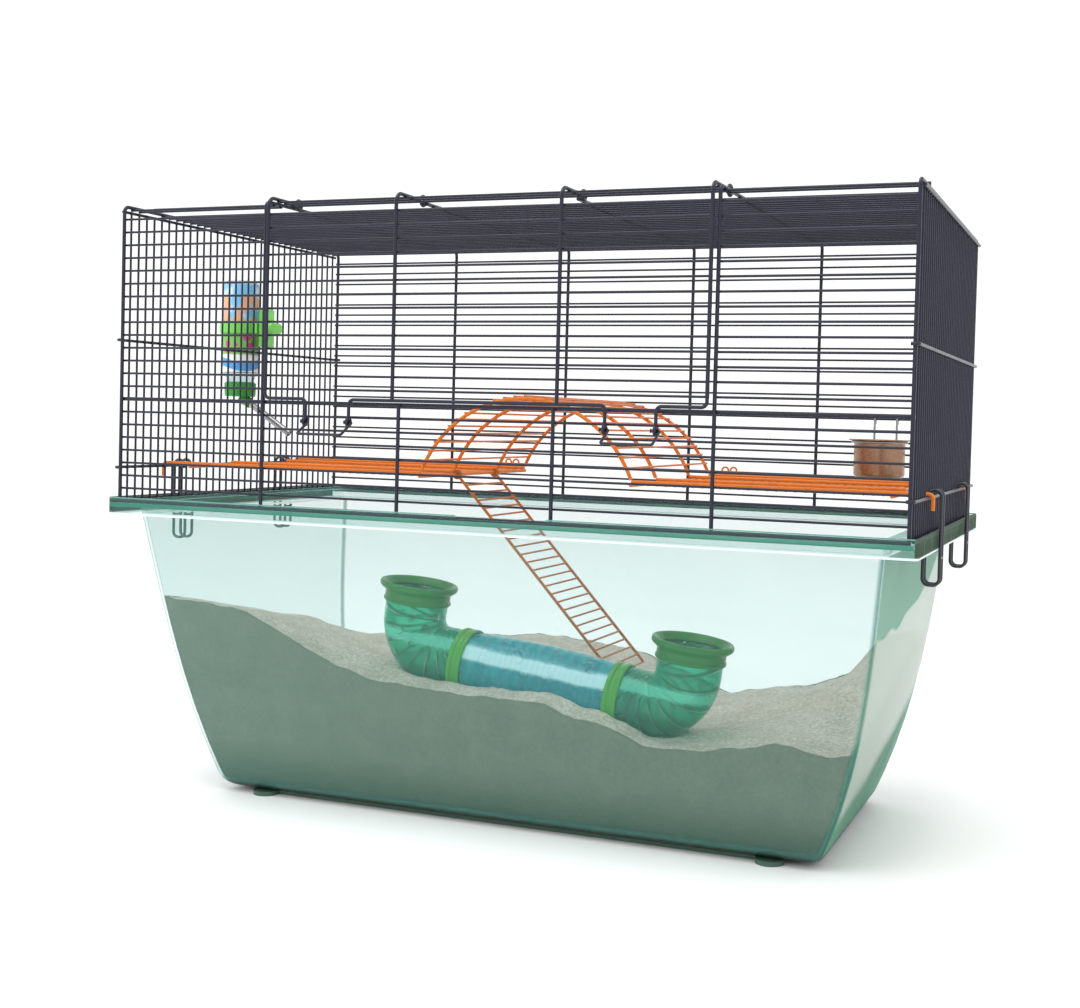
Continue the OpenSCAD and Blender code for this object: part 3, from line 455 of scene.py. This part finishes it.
# %% Tub shell
def tub_shell():
    levels = tub_levels()
    bm = outline(*levels[0])
    cap = bm.faces[:][0]
    bmesh.ops.duplicate(bm, geom=[cap])
    for old, new in zip(levels, levels[1:]):
        cap = lifted(bm, cap, old, new)
    bmesh.ops.remove_doubles(bm, verts=bm.verts, dist=1e-6)
    return notched(bm)

def notched(bm):
    """Lowers the outer lip of the long rims between two places, for the fingers."""
    left, right = -13, 75
    for x in (left - 1, left, right, right + 1):
        bmesh.ops.bisect_plane(bm, geom=bm.verts[:] + bm.edges[:] + bm.faces[:], dist=1e-6,
                               plane_co=(x * MM, 0, 0), plane_no=(1, 0, 0))
    for v in bm.verts:
        if left - 0.5 < v.co.x / MM < right + 0.5 and abs(v.co.y) > 0.2095 and v.co.z > 0.3005:
            v.co.z = 0.3005 - (0.3039 - v.co.z) * 0.2
    return bm

# %% [markdown]
# Clear plastic looks darker where the view runs through more of it: the four corners, the
# folded rim and the skirt under the ends. The floor of the tub is painted dark, painted shade
# where the tub meets the ground, and a thin white line at the foot of the rim skirt is a painted
# highlight. The long end wall on the right carries a painted view of the granulate behind it,
# pale above and grey-green below; its pale band is a painted reflection. Each of these places
# is a mask worked out from the position on the moulding.

# %% Places on the tub
SIDE_LEAN = 66.8
SKIRT_FOOT = 0.2862

def wall_lines(paint):
    """How far a point is outside the long walls and outside the end walls, in metres."""
    x, y, z = paint.axes()
    t = depth_share(z / MM)
    return y.abs() - (SIDE_TOP - SIDE_LEAN * t) * MM, x.abs() - end_line(t) * MM

def rim_places(paint):
    """Masks of the rim: side flange, top lip, a painted highlight line at the foot of the skirt,
    end skirt and its cells.
    """
    x, y, z = paint.axes()
    long_side = y.abs().over(0.2095, 0.001) * (1 - x.abs().over(0.3962, 0.001))
    flange = z.over(0.2944, 0.0006) * (1 - z.over(0.2984, 0.0006)) * long_side
    lip = z.over(0.3028, 0.0006)
    # Painted highlight: a thin near-white line along the lower edge of the rim skirt.
    painted_highlight_line = z.over(SKIRT_FOOT, 0.0004) * (1 - z.over(0.2884, 0.0006))
    skirt = x.abs().over(0.3968, 0.0006) * z.over(0.2864, 0.0006)
    cells = (y * (math.pi / 0.0449)).sin().abs().over(0.12, 0.06)
    cells = skirt * cells * z.over(0.2895, 0.0008) * (1 - z.over(0.3005, 0.0008))
    return flange, lip, painted_highlight_line, skirt, cells

def tub_places(paint):
    """Masks of the moulding below the rim: corners, the right end wall with its painted view
    through the wall, its pale band of painted reflection, and the floor, painted dark as shade.
    """
    x, y, z = paint.axes()
    past_side, past_end = wall_lines(paint)
    below = 1 - z.over(SKIRT_FOOT, 0.001)
    corner = past_side.over(-0.0045, 0.004) * past_end.over(-0.0045, 0.004) * below
    # The right end wall carries a painted view of the granulate behind it, painted in place of
    # the light through the wall.
    outside = past_end.over(-0.0012, 0.0008) * x.over(0.0, 0.001) * below * (1 - corner)
    ripple = paint.cloud(0.06, detail=0.0) * 0.02
    upper = 0.205 + ((y + 0.114).max(0.0) / 0.314) ** 2.5 * 0.075 + ripple
    lower = 0.070 + y * 0.225 + ripple
    # Painted reflection: the pale band across the right end wall.
    pale = outside * (1 - (z - upper).over(0.0, 0.004)) * (z - lower).over(0.0, 0.03)
    # Painted shade: the bottom of the tub, dark where it meets the ground.
    floor = 1 - z.over(0.013, 0.012)
    return corner, outside, pale, floor

# %% Tub plastic
def tub_share(paint):
    flange, lip, painted_highlight_line, skirt, cells = rim_places(paint)
    corner, outside, pale, floor = tub_places(paint)
    share = (corner * 0.7).max(flange * 0.92).max(lip * 0.78).max(painted_highlight_line * 0.7).max(skirt * 0.9)
    return share.max(cells * 0.96).max(outside * 0.78).max(pale * 0.8).max(floor * 0.8)

def tub_calm(paint):
    """Where the moulding faces a dark part of the room and does not shine."""
    flange, lip, painted_highlight_line, skirt, cells = rim_places(paint)
    corner, outside, pale, floor = tub_places(paint)
    return (outside * (1 - pale)).max(skirt) * 0.9

def tub_tone(paint, colour):
    flange, lip, painted_highlight_line, skirt, cells = rim_places(paint)
    corner, outside, pale, floor = tub_places(paint)
    colour = paint.mix(corner.max(flange), colour, (0.045, 0.20, 0.145))
    colour = paint.mix(lip, colour, (0.13, 0.32, 0.26))
    colour = paint.mix(skirt, colour, (0.095, 0.14, 0.105))
    colour = paint.mix(cells, colour, (0.06, 0.09, 0.065))
    # Painted light on the right end wall: a painted view of the granulate through it, then its
    # pale band of painted reflection.
    colour = paint.mix(outside, colour, (0.175, 0.35, 0.255))
    colour = paint.mix(pale, colour, (0.415, 0.50, 0.425))
    # Painted highlight: the near-white line at the foot of the rim skirt.
    colour = paint.mix(painted_highlight_line, colour, (0.88, 0.98, 0.96))
    # Painted shade: the floor of the tub turned nearly black.
    return paint.mix(floor, colour, (0.030, 0.050, 0.034))

tub_plastic = clear_plastic("tub_clear_plastic", (0.914, 0.946, 0.945), (0.20, 0.60, 0.52), 0.02,
                            edge=0.38, edge_power=2.2, rough=0.05, strength=0.03, mask=tub_share,
                            tone=tub_tone, gloss_share=0.4, level=0.0, calm=tub_calm)
as_piece("tub", tub_shell(), tub_plastic, "cage", ["base_tub"], sharp=50)

# %% [markdown]
# ## Bedding
# Loose granulate fills the tub, heaped at the left end and scraped low on the right. Seen
# through the wall it is a packed grey-green mass; its open surface is pale and grainy. It
# starts as a fine grid that takes the heap's height and the tub's inner outline, and its
# sides are pulled straight down to the floor.

# %% Bedding heights
FRONT_LINE = ((-372, 204), (-358, 203), (-330, 200), (-300, 198), (-261, 194), (-240, 184),
              (-210, 169), (-166, 148), (-130, 138), (-97, 134), (-34, 131), (8, 130), (56, 128),
              (85, 115), (110, 112), (128, 108), (149, 96), (192, 98), (235, 106), (274, 113),
              (323, 103), (345, 107), (372, 108))
BACK_LINE = ((-372, 122), (-343, 122), (-260, 132), (-90, 142), (-17, 139), (45, 129), (68, 120),
             (150, 100), (234, 110), (279, 129), (310, 168), (345, 176), (372, 178))

def line_at(line, x):
    for (x0, z0), (x1, z1) in zip(line, line[1:]):
        if x <= x1:
            t = min(1.0, max(0.0, (x - x0) / (x1 - x0)))
            return z0 + (z1 - z0) * t
    return line[-1][1]

def bed_height(x, y):
    """Height of the surface in millimetres, from the lines along the front and back walls."""
    front, back = line_at(FRONT_LINE, x), line_at(BACK_LINE, x)
    t = min(1.0, max(0.0, (y + 185) / 340))
    t = t * t * (3 - 2 * t)
    height = front + (back - front) * t
    height += 7 * noise.noise(Vector((x * 0.011, y * 0.013, 3.1)))
    height += 2.4 * noise.noise(Vector((x * 0.045, y * 0.045, 8.7)))
    height += 0.9 * noise.noise(Vector((x * 0.16, y * 0.16, 1.3)))
    away = math.hypot((x - 31) / 170, (y + 105) / 46)
    height += (6 + 7 * min(1.0, max(0.0, (x - 40) / 60))) * math.exp(-away ** 4)
    return min(height, under_tunnel(x, y))

def under_tunnel(x, y):
    """Height of the tunnel's underside, where it lies over the bedding."""
    along, side = abs(x - 31) / math.cos(math.radians(7)), abs(y + 105)
    if side >= 32.5:
        return 1000.0
    half = math.sqrt(32.5 ** 2 - side ** 2)
    axis = 141 - (x - 31) * math.tan(math.radians(7))
    if along <= 108:
        return axis - half
    reach = (36 + half) ** 2 - (along - 108) ** 2
    return axis + 36 - math.sqrt(reach) if reach > 0 else 1000.0

print("bedding over the left end", round(bed_height(-300, 0)), "mm")

# %% Bedding surface
GAP = WALL + 0.3

def bedding():
    nx, ny = 220, 150
    bm = bmesh.new()
    bmesh.ops.create_grid(bm, x_segments=nx, y_segments=ny, size=1.0)
    for v in bm.verts:
        u, w, z = v.co.x, v.co.y, 120.0
        for _ in range(4):
            hx, hy = end_half(z, GAP), side_half(z, GAP)
            x, y = u * hx, w * hy
            cut_x, cut_y = max(0.0, abs(x) - (hx - 5.5)), max(0.0, abs(y) - (hy - 5.5))
            reach = math.hypot(cut_x, cut_y)
            square = max(cut_x, cut_y)
            if reach > 0:
                x = math.copysign(abs(x) - cut_x + cut_x * square / reach, x)
                y = math.copysign(abs(y) - cut_y + cut_y * square / reach, y)
            z = bed_height(x, y)
        v.co = (x * MM, y * MM, z * MM)
    rim = [e for e in bm.edges if e.is_boundary]
    low, above = 9.1, 1.0
    for level in (0.93, 0.8, 0.6, 0.4, 0.22, 0.1, 0.03, 0.0):
        out = bmesh.ops.extrude_edge_only(bm, edges=rim)
        rim = [g for g in out["geom"] if isinstance(g, bmesh.types.BMEdge)]
        shrink = 1.2 if level == 0.0 else 0.0
        for v in {v for e in rim for v in e.verts}:
            x, y, old = (c / MM for c in v.co)
            z = low + (old - low) * level / above
            v.co = (x * (end_half(z, GAP) - shrink) / end_half(old, GAP) * MM,
                    y * (side_half(z, GAP) - shrink) / side_half(old, GAP) * MM, z * MM)
        above = level
    bmesh.ops.contextual_create(bm, geom=rim)
    return bm

# %% Granulate
def granulate():
    paint = Paint("bedding_granulate")
    x, y, z = paint.axes()
    grain = paint.cloud(0.0034, detail=3.0, rough=0.75)
    lump = paint.cloud(0.03, detail=4.0, rough=0.6)
    speck = paint.cells(0.0022).over(0.32, 0.3)
    past_side, past_end = wall_lines(paint)
    pressed = past_side.over(-0.0075, 0.003).max(past_end.over(-0.0075, 0.003))
    loose = paint.mix((grain * 0.7 + lump * 0.3).over(0.5, 0.3), (0.90, 0.86, 0.77),
                      (0.52, 0.48, 0.40))
    loose = paint.mix(speck * 0.25, loose, (0.34, 0.30, 0.24))
    packed = paint.mix((grain * 0.6 + lump * 0.4).over(0.5, 0.6), (0.245, 0.275, 0.205),
                       (0.15, 0.175, 0.128))
    # Painted shade: the packed granulate darkens towards the floor of the tub.
    packed = paint.mix(1 - z.over(0.035, 0.06), packed, (0.065, 0.095, 0.055))
    return paint.done(paint.surface(
        Base_Color=paint.mix(pressed, loose, packed), Roughness=0.9 - speck * 0.1,
        Normal=paint.bump(grain + lump * 0.6, 0.9, 0.003)))

as_piece("bedding_heap", bedding(), granulate(), "cage", ["bedding"],
         sharp=60)

# %% [markdown]
# ## The tunnel
# Two elbows stand in the bedding with a blue tube between them. Each is a thin blown
# moulding with raised ribs and little bubbles pressed into it. The elbow starts as a
# circle that is extruded straight, spun through a quarter turn and extruded again; a
# Solidify modifier gives it its wall. The relief is fine, so it is left to the bump.

# %% Tunnel place and relief
TUNNEL_AT, TUNNEL_TILT = (0.031, -0.105, 0.141), math.radians(7)
TUNNEL = Matrix.Translation(TUNNEL_AT) @ Matrix.Rotation(TUNNEL_TILT, 4, "Y")
NECK, TUBE, BEND, HALF, MOUTH = 144.0, 31.0, 36.0, 81.0, 69.0

def in_tunnel(paint):
    return paint.node("Mapping", {"vector_type": "TEXTURE"},
                      {0: paint.place, 1: TUNNEL_AT, 2: (0, TUNNEL_TILT, 0)})

def bubbles(paint, size):
    """Small raised bosses, scattered: each a ring around a dimple."""
    ring = 1 - (paint.cells(size) - 0.23).abs() * 8
    some = paint.cloud(size * 2.0, detail=0.0).over(0.45, 0.1)
    return ring.held() * some

def elbow_relief(paint):
    x, y, z = paint.axes(in_tunnel(paint))
    across = x.abs() - (NECK - BEND) * MM
    angle = paint.node("Math", {"operation": "ARCTAN2"}, {0: z - BEND * MM, 1: across})
    warp = paint.cloud(0.06, detail=1.0)
    ribs = (angle * 19 + y.abs() * 70 + warp * 6).sin().over(0.80, 0.25)
    return (ribs * 0.8).max(bubbles(paint, 0.015))

def tube_relief(paint):
    x, y, z = paint.axes(in_tunnel(paint))
    bands = (x * 560).sin().over(0.1, 0.5) * (1 - (x.abs().over(0.062, 0.004)))
    return (bands * 0.5).max(bubbles(paint, 0.016))

# Heights of the painted highlight bands on the middle tube and on the elbows.
TUBE_HIGHLIGHT_BAND, ELBOW_HIGHLIGHT_BAND = (0.012, 0.025), (0.016, 0.027)

def painted_highlight_band(paint, low, high, soft=0.005):
    """A painted highlight: a long light band on the upper front of the tubes, broken a little by
    the relief.
    """
    x, y, z = paint.axes(in_tunnel(paint))
    rise = z + paint.cloud(0.02, detail=2.0) * 0.004
    return rise.over(low, soft) * (1 - rise.over(high, soft)) * (1 - y.over(0.0, 0.004))

# %% Tunnel plastics
def elbow_low(paint):
    """The underside of the tunnel, painted darker towards the bottom."""
    x, y, z = paint.axes(in_tunnel(paint))
    return 1 - z.over(-0.006, 0.022)

def elbow_tone(paint, colour):
    colour = paint.mix(elbow_low(paint) * 0.7, colour, (0.0, 0.16, 0.08))
    colour = paint.mix(elbow_relief(paint), colour, (0.0, 0.13, 0.065))
    # Painted highlight along the upper front of the elbows.
    return paint.mix(painted_highlight_band(paint, *ELBOW_HIGHLIGHT_BAND) * 0.7, colour, (0.25, 0.95, 0.72))

def elbow_share(paint):
    share = (elbow_relief(paint) * 0.85).max(elbow_low(paint) * 0.4)
    return share.max(painted_highlight_band(paint, *ELBOW_HIGHLIGHT_BAND) * 0.5)

def tube_tone(paint, colour):
    colour = paint.mix(tube_relief(paint), colour, (0.01, 0.20, 0.30))
    # Painted highlight along the upper front of the middle tube.
    return paint.mix(painted_highlight_band(paint, *TUBE_HIGHLIGHT_BAND), colour, (0.66, 0.95, 1.0))

def tube_share(paint):
    return (tube_relief(paint) * 0.9).max(painted_highlight_band(paint, *TUBE_HIGHLIGHT_BAND) * 0.75)

green_clear = clear_plastic("green_elbow_plastic", (0.47, 0.91, 0.78), (0.003, 0.52, 0.31), 0.17,
                            edge=0.7, edge_power=2.0, rough=0.06, height=elbow_relief,
                            strength=0.9,
                            depth=0.002, mask=elbow_share, tone=elbow_tone,
                            gloss_share=0.55)
blue_clear = clear_plastic("blue_tube_plastic", (0.52, 0.90, 0.93), (0.02, 0.60, 0.68), 0.24,
                           edge=0.6, edge_power=2.0, rough=0.06, height=tube_relief, strength=0.8,
                           depth=0.0015, mask=tube_share, tone=tube_tone, gloss_share=0.5)

# %% Elbows
ALONG_X = Matrix.Rotation(math.pi / 2, 3, "Y")

def elbow(side):
    bm = bmesh.new()
    bmesh.ops.create_circle(bm, cap_ends=False, segments=72, radius=(TUBE - 0.05) * MM)
    bmesh.ops.rotate(bm, verts=bm.verts, cent=(0, 0, 0), matrix=ALONG_X)
    bmesh.ops.translate(bm, verts=bm.verts, vec=((HALF + 0.3) * MM, 0, 0))
    edges = bm.edges[:]
    for step in range(4):
        edges = [g for g in bmesh.ops.extrude_edge_only(bm, edges=edges)["geom"]
                 if isinstance(g, bmesh.types.BMEdge)]
        bmesh.ops.translate(bm, verts=list({v for e in edges for v in e.verts}),
                            vec=((NECK - BEND - HALF - 0.3) / 4 * MM, 0, 0))
    turned = bmesh.ops.spin(bm, geom=edges, cent=((NECK - BEND) * MM, 0, BEND * MM),
                            axis=(0, -1, 0), angle=math.pi / 2, steps=16, use_merge=False,
                            use_duplicate=False)
    edges = [g for g in turned["geom_last"] if isinstance(g, bmesh.types.BMEdge)]
    for step in range(4):
        edges = [g for g in bmesh.ops.extrude_edge_only(bm, edges=edges)["geom"]
                 if isinstance(g, bmesh.types.BMEdge)]
        bmesh.ops.translate(bm, verts=list({v for e in edges for v in e.verts}),
                            vec=(0, 0, (MOUTH - 8.3 - BEND) / 4 * MM))
    bmesh.ops.remove_doubles(bm, verts=bm.verts, dist=1e-6)
    bmesh.ops.recalc_face_normals(bm, faces=bm.faces)
    if side < 0:
        bmesh.ops.scale(bm, vec=(-1, 1, 1), verts=bm.verts)
        bmesh.ops.recalc_face_normals(bm, faces=bm.faces)
    bm.faces.ensure_lookup_table()
    first = bm.faces[0].calc_center_median()
    if bm.faces[0].normal.dot(Vector((0, first.y, first.z))) < 0:
        bmesh.ops.reverse_faces(bm, faces=bm.faces)
    bmesh.ops.transform(bm, matrix=TUNNEL, verts=bm.verts)
    return bm

def walled(piece, thickness):
    """Gives a single sheet its wall, inwards."""
    wall = piece.modifiers.new("wall", "SOLIDIFY")
    wall.thickness = thickness * MM
    wall.offset = -1
    return piece

for name, side in (("left", -1), ("right", 1)):
    walled(as_piece(name + "_elbow_moulding", elbow(side), green_clear, "cage",
                    [name + "_elbow"], clean=False), 1.9)

# %% [markdown]
# The middle tube swells a little between its two plain ends. Its section is one short
# line of points, doubled for the wall, and spun.

# %% Middle tube
def tube_section():
    plain = 14 / 2 + 1
    swell = HALF - plain
    outer = [(TUBE - 0.05, -HALF + 0.3)]
    for i in range(25):
        t = 2 * i / 24 - 1
        outer.append((TUBE - 0.05 + 3 * (1 - t * t), t * swell))
    outer.append((TUBE - 0.05, HALF - 0.3))
    return outer + [(r - 1.9, z) for r, z in reversed(outer)]

def along_tunnel(bm, shift=0.0):
    """Lays a piece spun about Z along the tunnel."""
    bmesh.ops.rotate(bm, verts=bm.verts, cent=(0, 0, 0), matrix=ALONG_X)
    bmesh.ops.translate(bm, verts=bm.verts, vec=(shift * MM, 0, 0))
    bmesh.ops.transform(bm, matrix=TUNNEL, verts=bm.verts)
    return bm

as_piece("middle_tube_moulding", along_tunnel(spun(tube_section(), 80)), blue_clear, "cage",
         ["middle_tube"])

# %% [markdown]
# The rings that join the tunnel are solid colour, slightly soft in light. Mouth rings
# have a sleeve and a lip rolled outwards; couplings have a groove round the middle.

# %% Ring plastic and rings
def solid_plastic(name, colour, dark, rough=0.2, glow=0.04, coat=0.15):
    paint = Paint(name)
    drift = paint.cloud(0.03, detail=3.0)
    fine = paint.cloud(0.0015, detail=2.0)
    scuff = paint.cloud(0.008, detail=5.0, rough=0.7).over(0.64, 0.1)
    return paint.done(paint.surface(
        Base_Color=paint.mix((drift * 0.6 + scuff * 0.3).held(), colour, dark),
        Roughness=rough + fine * 0.06 + scuff * 0.15, Coat_Weight=coat, Coat_Roughness=0.08,
        Specular_IOR_Level=0.35, Subsurface_Weight=glow, Subsurface_Scale=0.004,
        Normal=paint.bump(fine + scuff * 0.4, 0.12, 0.0006)))

green_ring = solid_plastic("green_ring_plastic", (0.022, 0.22, 0.022), (0.010, 0.11, 0.010),
                           coat=0.05)
lime_ring = solid_plastic("lime_ring_plastic", (0.070, 0.37, 0.035), (0.035, 0.22, 0.02),
                          coat=0.08)
cap_green = solid_plastic("cap_plastic", (0.03, 0.34, 0.03), (0.015, 0.22, 0.02))
bracket_green = solid_plastic("bracket_plastic", (0.20, 0.66, 0.11), (0.12, 0.52, 0.08))

# %% Ring sections
def mouth_section():
    r, top = 31.15, MOUTH
    return rounded([(r, top - 19.8), (r + 2.4, top - 19.8), (r + 2.4, top - 17),
                    (r + 1.4, top - 16), (r + 1.4, top - 10), (38.2, top - 5.6),
                    (38.9, top - 4), (38.9, top - 2.2),
                    (37.9, top - 0.2), (36, top - 0.1), (33.5, top - 1.6), (r - 1.4, top - 6.2),
                    (r - 1.4, top - 7.8), (r, top - 7.85), (r, top - 19.7)], 0.9)

def coupling_section():
    r = 31.15
    return rounded([(r, -6.9), (r + 1.9, -6.9), (r + 2.5, -6), (r + 2.5, -2.9), (r + 1.3, -2.1),
                    (r + 1.3, 2.1), (r + 2.5, 2.9), (r + 2.5, 6), (r + 1.9, 6.9), (r, 6.9),
                    (r, -6.8)], 0.7)

# %% Rings in place
for name, side in (("left", -1), ("right", 1)):
    ring = spun(mouth_section(), 96)
    bmesh.ops.translate(ring, verts=ring.verts, vec=(side * NECK * MM, 0, 0))
    bmesh.ops.transform(ring, matrix=TUNNEL, verts=ring.verts)
    as_piece(name + "_mouth", ring, green_ring, "cage",
             [name + "_mouth_ring"])
    as_piece(name + "_joining_ring", along_tunnel(spun(coupling_section(), 96), side * HALF),
             lime_ring, "cage", [name + "_coupling"])

# %% [markdown]
# ## The water bottle
# A clear bottle hangs neck down outside the left end. A printed film wraps its upper half,
# a ribbed cap closes it and carries the steel tube, and a green bracket with a clamp inside
# the bars holds it. Bottle and cap are spun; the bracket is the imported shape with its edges
# rounded over.

# %% Bottle
AXIS = (-0.4215, -0.2055 + 20.5 * 0.411 / 34)
SHOULDER, BOTTLE_TOP, CAP_TOP, CAP_H, CAP_R, BOTTLE_R = 437.0, 545.0, 427.0, 17.0, 18.0, 21.6

def at_bottle(bm):
    bmesh.ops.translate(bm, verts=bm.verts, vec=(*AXIS, 0))
    return bm

def bottle_section():
    r, neck, low = BOTTLE_R - 0.45, CAP_R - 2.3, SHOULDER - 12.8
    outer = [(neck, low - 10.8), (neck, low + 3), (r - 3.5, SHOULDER - 4), (r, SHOULDER + 0.5),
             (r, BOTTLE_TOP - 5), (r - 4, BOTTLE_TOP), (0, BOTTLE_TOP)]
    outer = rounded(outer, 4, 5)
    inner = [(max(0.0, x - 1.4), z - (1.4 if z > BOTTLE_TOP - 3 else 0)) for x, z in outer]
    return list(reversed(outer)) + inner

def bottle_shell():
    section = bottle_section()
    bm = bmesh.new()
    verts = [bm.verts.new((r * MM, 0, z * MM)) for r, z in section]
    for a, b in zip(verts, verts[1:]):
        bm.edges.new((a, b))
    bmesh.ops.spin(bm, geom=bm.verts[:] + bm.edges[:], cent=(0, 0, 0), axis=(0, 0, 1),
                   angle=math.tau, steps=56, use_merge=True, use_duplicate=False)
    bmesh.ops.remove_doubles(bm, verts=bm.verts, dist=1e-6)
    return at_bottle(bm)

bottle_clear = clear_plastic("bottle_plastic", (0.93, 0.97, 0.98), (0.50, 0.60, 0.62), 0.10,
                             edge=0.5, rough=0.08)
as_piece("bottle_shell", bottle_shell(), bottle_clear, "bottle",
         ["bottle_body"])

# %% Printed film
def print_film():
    paint = Paint("label_print")
    x, y, z = paint.axes()
    turn = paint.node("Math", {"operation": "ARCTAN2"}, {0: y - AXIS[1], 1: x - AXIS[0]})
    up = (z - 0.438) / 0.102
    wobble = paint.cloud(0.012, detail=2.0)
    cloud = paint.cloud(0.02, detail=3.0).over(0.55, 0.15)
    picture = paint.mix(cloud * 0.7, (0.20, 0.54, 0.88), (0.85, 0.94, 0.98))
    grass = 1 - (up + wobble * 0.25).over(0.62, 0.02)
    picture = paint.mix(grass, picture, (0.20, 0.52, 0.10))
    blobs = paint.cells(0.014)
    warm = (1 - blobs.over(0.55, 0.1)) * (1 - (up - 0.72).abs().over(0.15, 0.02))
    picture = paint.mix(warm, picture, (0.74, 0.42, 0.26))
    petal = (1 - blobs.over(0.38, 0.06)) * (1 - (up - 0.36).abs().over(0.14, 0.02))
    picture = paint.mix(petal, picture, (0.62, 0.06, 0.28))
    foot = 1 - up.over(0.2, 0.02)
    picture = paint.mix(foot, picture, (0.90, 0.93, 0.95))
    wave = (up - 0.09 - (turn * 2.0).sin() * 0.03).abs()
    picture = paint.mix(1 - wave.over(0.05, 0.02), picture, (0.08, 0.35, 0.75))
    fine = paint.cloud(0.003)
    return paint.done(paint.surface(Base_Color=picture, Roughness=0.28 + fine * 0.1,
                                    Normal=paint.bump(fine, 0.1, 0.0004)))

def film_section():
    low, high, r = SHOULDER + 1.2, BOTTLE_TOP - 5.4, BOTTLE_R
    return [(r - 0.33, low), (r, low), (r, high), (r - 0.33, high)]

as_piece("bottle_film", at_bottle(spun(film_section(), 64)), print_film(), "bottle",
         ["bottle_label"])

# %% Ribbed cap
CAP_LOW, CAP_STEPS = CAP_TOP - CAP_H, 96

def cap():
    wall, floor = CAP_R - 2.1, CAP_LOW + 4
    bm = spun(rounded([(0, CAP_LOW), (CAP_R - 0.4, CAP_LOW), (CAP_R - 0.4, CAP_TOP - 1.2),
                       (CAP_R - 1.2, CAP_TOP), (wall, CAP_TOP), (wall, floor), (0, floor)],
                      0.9), CAP_STEPS)
    for v in bm.verts:
        r = math.hypot(v.co.x, v.co.y) / MM
        if r > CAP_R - 1.0 and CAP_LOW + 2 < v.co.z / MM < CAP_TOP - 1.5:
            step = round(math.atan2(v.co.y, v.co.x) / (math.tau / CAP_STEPS))
            grow = 1 + (0.5 if step % 3 == 0 else -0.3) / r
            v.co.x, v.co.y = v.co.x * grow, v.co.y * grow
    return at_bottle(bm)

def nozzle():
    bore = 3.97
    bm = spun(rounded([(bore, 4), (7.6, 4), (6.9, 8), (6.0, 12), (5.6, 17.6), (bore, 17.6),
                       (bore, 4.1)], 0.5), 48)
    bmesh.ops.rotate(bm, verts=bm.verts, cent=(0, 0, 0),
                     matrix=Matrix.Rotation(math.radians(90 + 32), 3, "Y"))
    bmesh.ops.translate(bm, verts=bm.verts, vec=(0, 0, (CAP_LOW + 1) * MM))
    return at_bottle(bm)

as_piece("bottle_cap_moulding", cap(), cap_green, "bottle", ["bottle_cap"])
as_piece("bottle_nozzle", nozzle(), cap_green, "bottle")

# %% Bracket and clamp with soft edges
def softened(name, node, radius, material, body, segments=3):
    """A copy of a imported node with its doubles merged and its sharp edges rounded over."""
    bm = bmesh.new()
    bm.from_mesh(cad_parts[node].data)
    bmesh.ops.remove_doubles(bm, verts=bm.verts, dist=1e-6)
    bmesh.ops.dissolve_limit(bm, angle_limit=math.radians(2), verts=bm.verts, edges=bm.edges)
    sharp = [e for e in bm.edges
             if len(e.link_faces) == 2 and e.calc_face_angle(0) > math.radians(35)]
    bmesh.ops.bevel(bm, geom=sharp, offset=radius * MM, offset_type="OFFSET", affect="EDGES",
                    segments=segments, profile=0.5, material=-1, clamp_overlap=True)
    return as_piece(name, bm, material, body, [node])

softened("bracket_moulding", "bottle_bracket", 0.9, bracket_green, "cage")
softened("clamp_moulding", "bracket_clamp", 1.2, bracket_green, "cage")

# %% [markdown]
# ## The food bowl
# A small bowl pressed from steel sheet, with a flange rolled over at its rim. Its section
# follows the sheet down the inside, across the floor and back up the outside.

# %% Bowl
def bowl():
    low, top = 339.05, 380.05
    inner = [(0, low + 1), (22.6, low + 1), (26, low + 4.4), (26, top - 1.2), (27.4, top + 0.2),
             (32, top + 0.5), (32.9, top), (32.9, top - 0.7), (32.2, top - 1), (27.2, top - 1),
             (27, top - 1.4), (27, low + 3.4), (23.6, low), (0, low)]
    bm = spun(rounded(inner, 1.6, 4), 88)
    bmesh.ops.translate(bm, verts=bm.verts, vec=(0.302, 165.5 * MM, 0))
    return bm

as_piece("bowl_shell", bowl(), bowl_steel, "bowl", ["food_bowl"])

# %% [markdown]
# ## Feet
# Four low pads under the floor, in a dark, fairly matt green plastic. Their dark colour is partly
# painted shade: it stands in for the dark shadow line under the tub.

# %% Feet
# Painted shade: the feet are made dark to read as the shadow line under the tub.
feet_plastic = solid_plastic("feet_plastic", (0.06, 0.12, 0.09), (0.035, 0.07, 0.05),
                             0.4, 0.0, 0.0)
finish(feet_plastic, "feet")
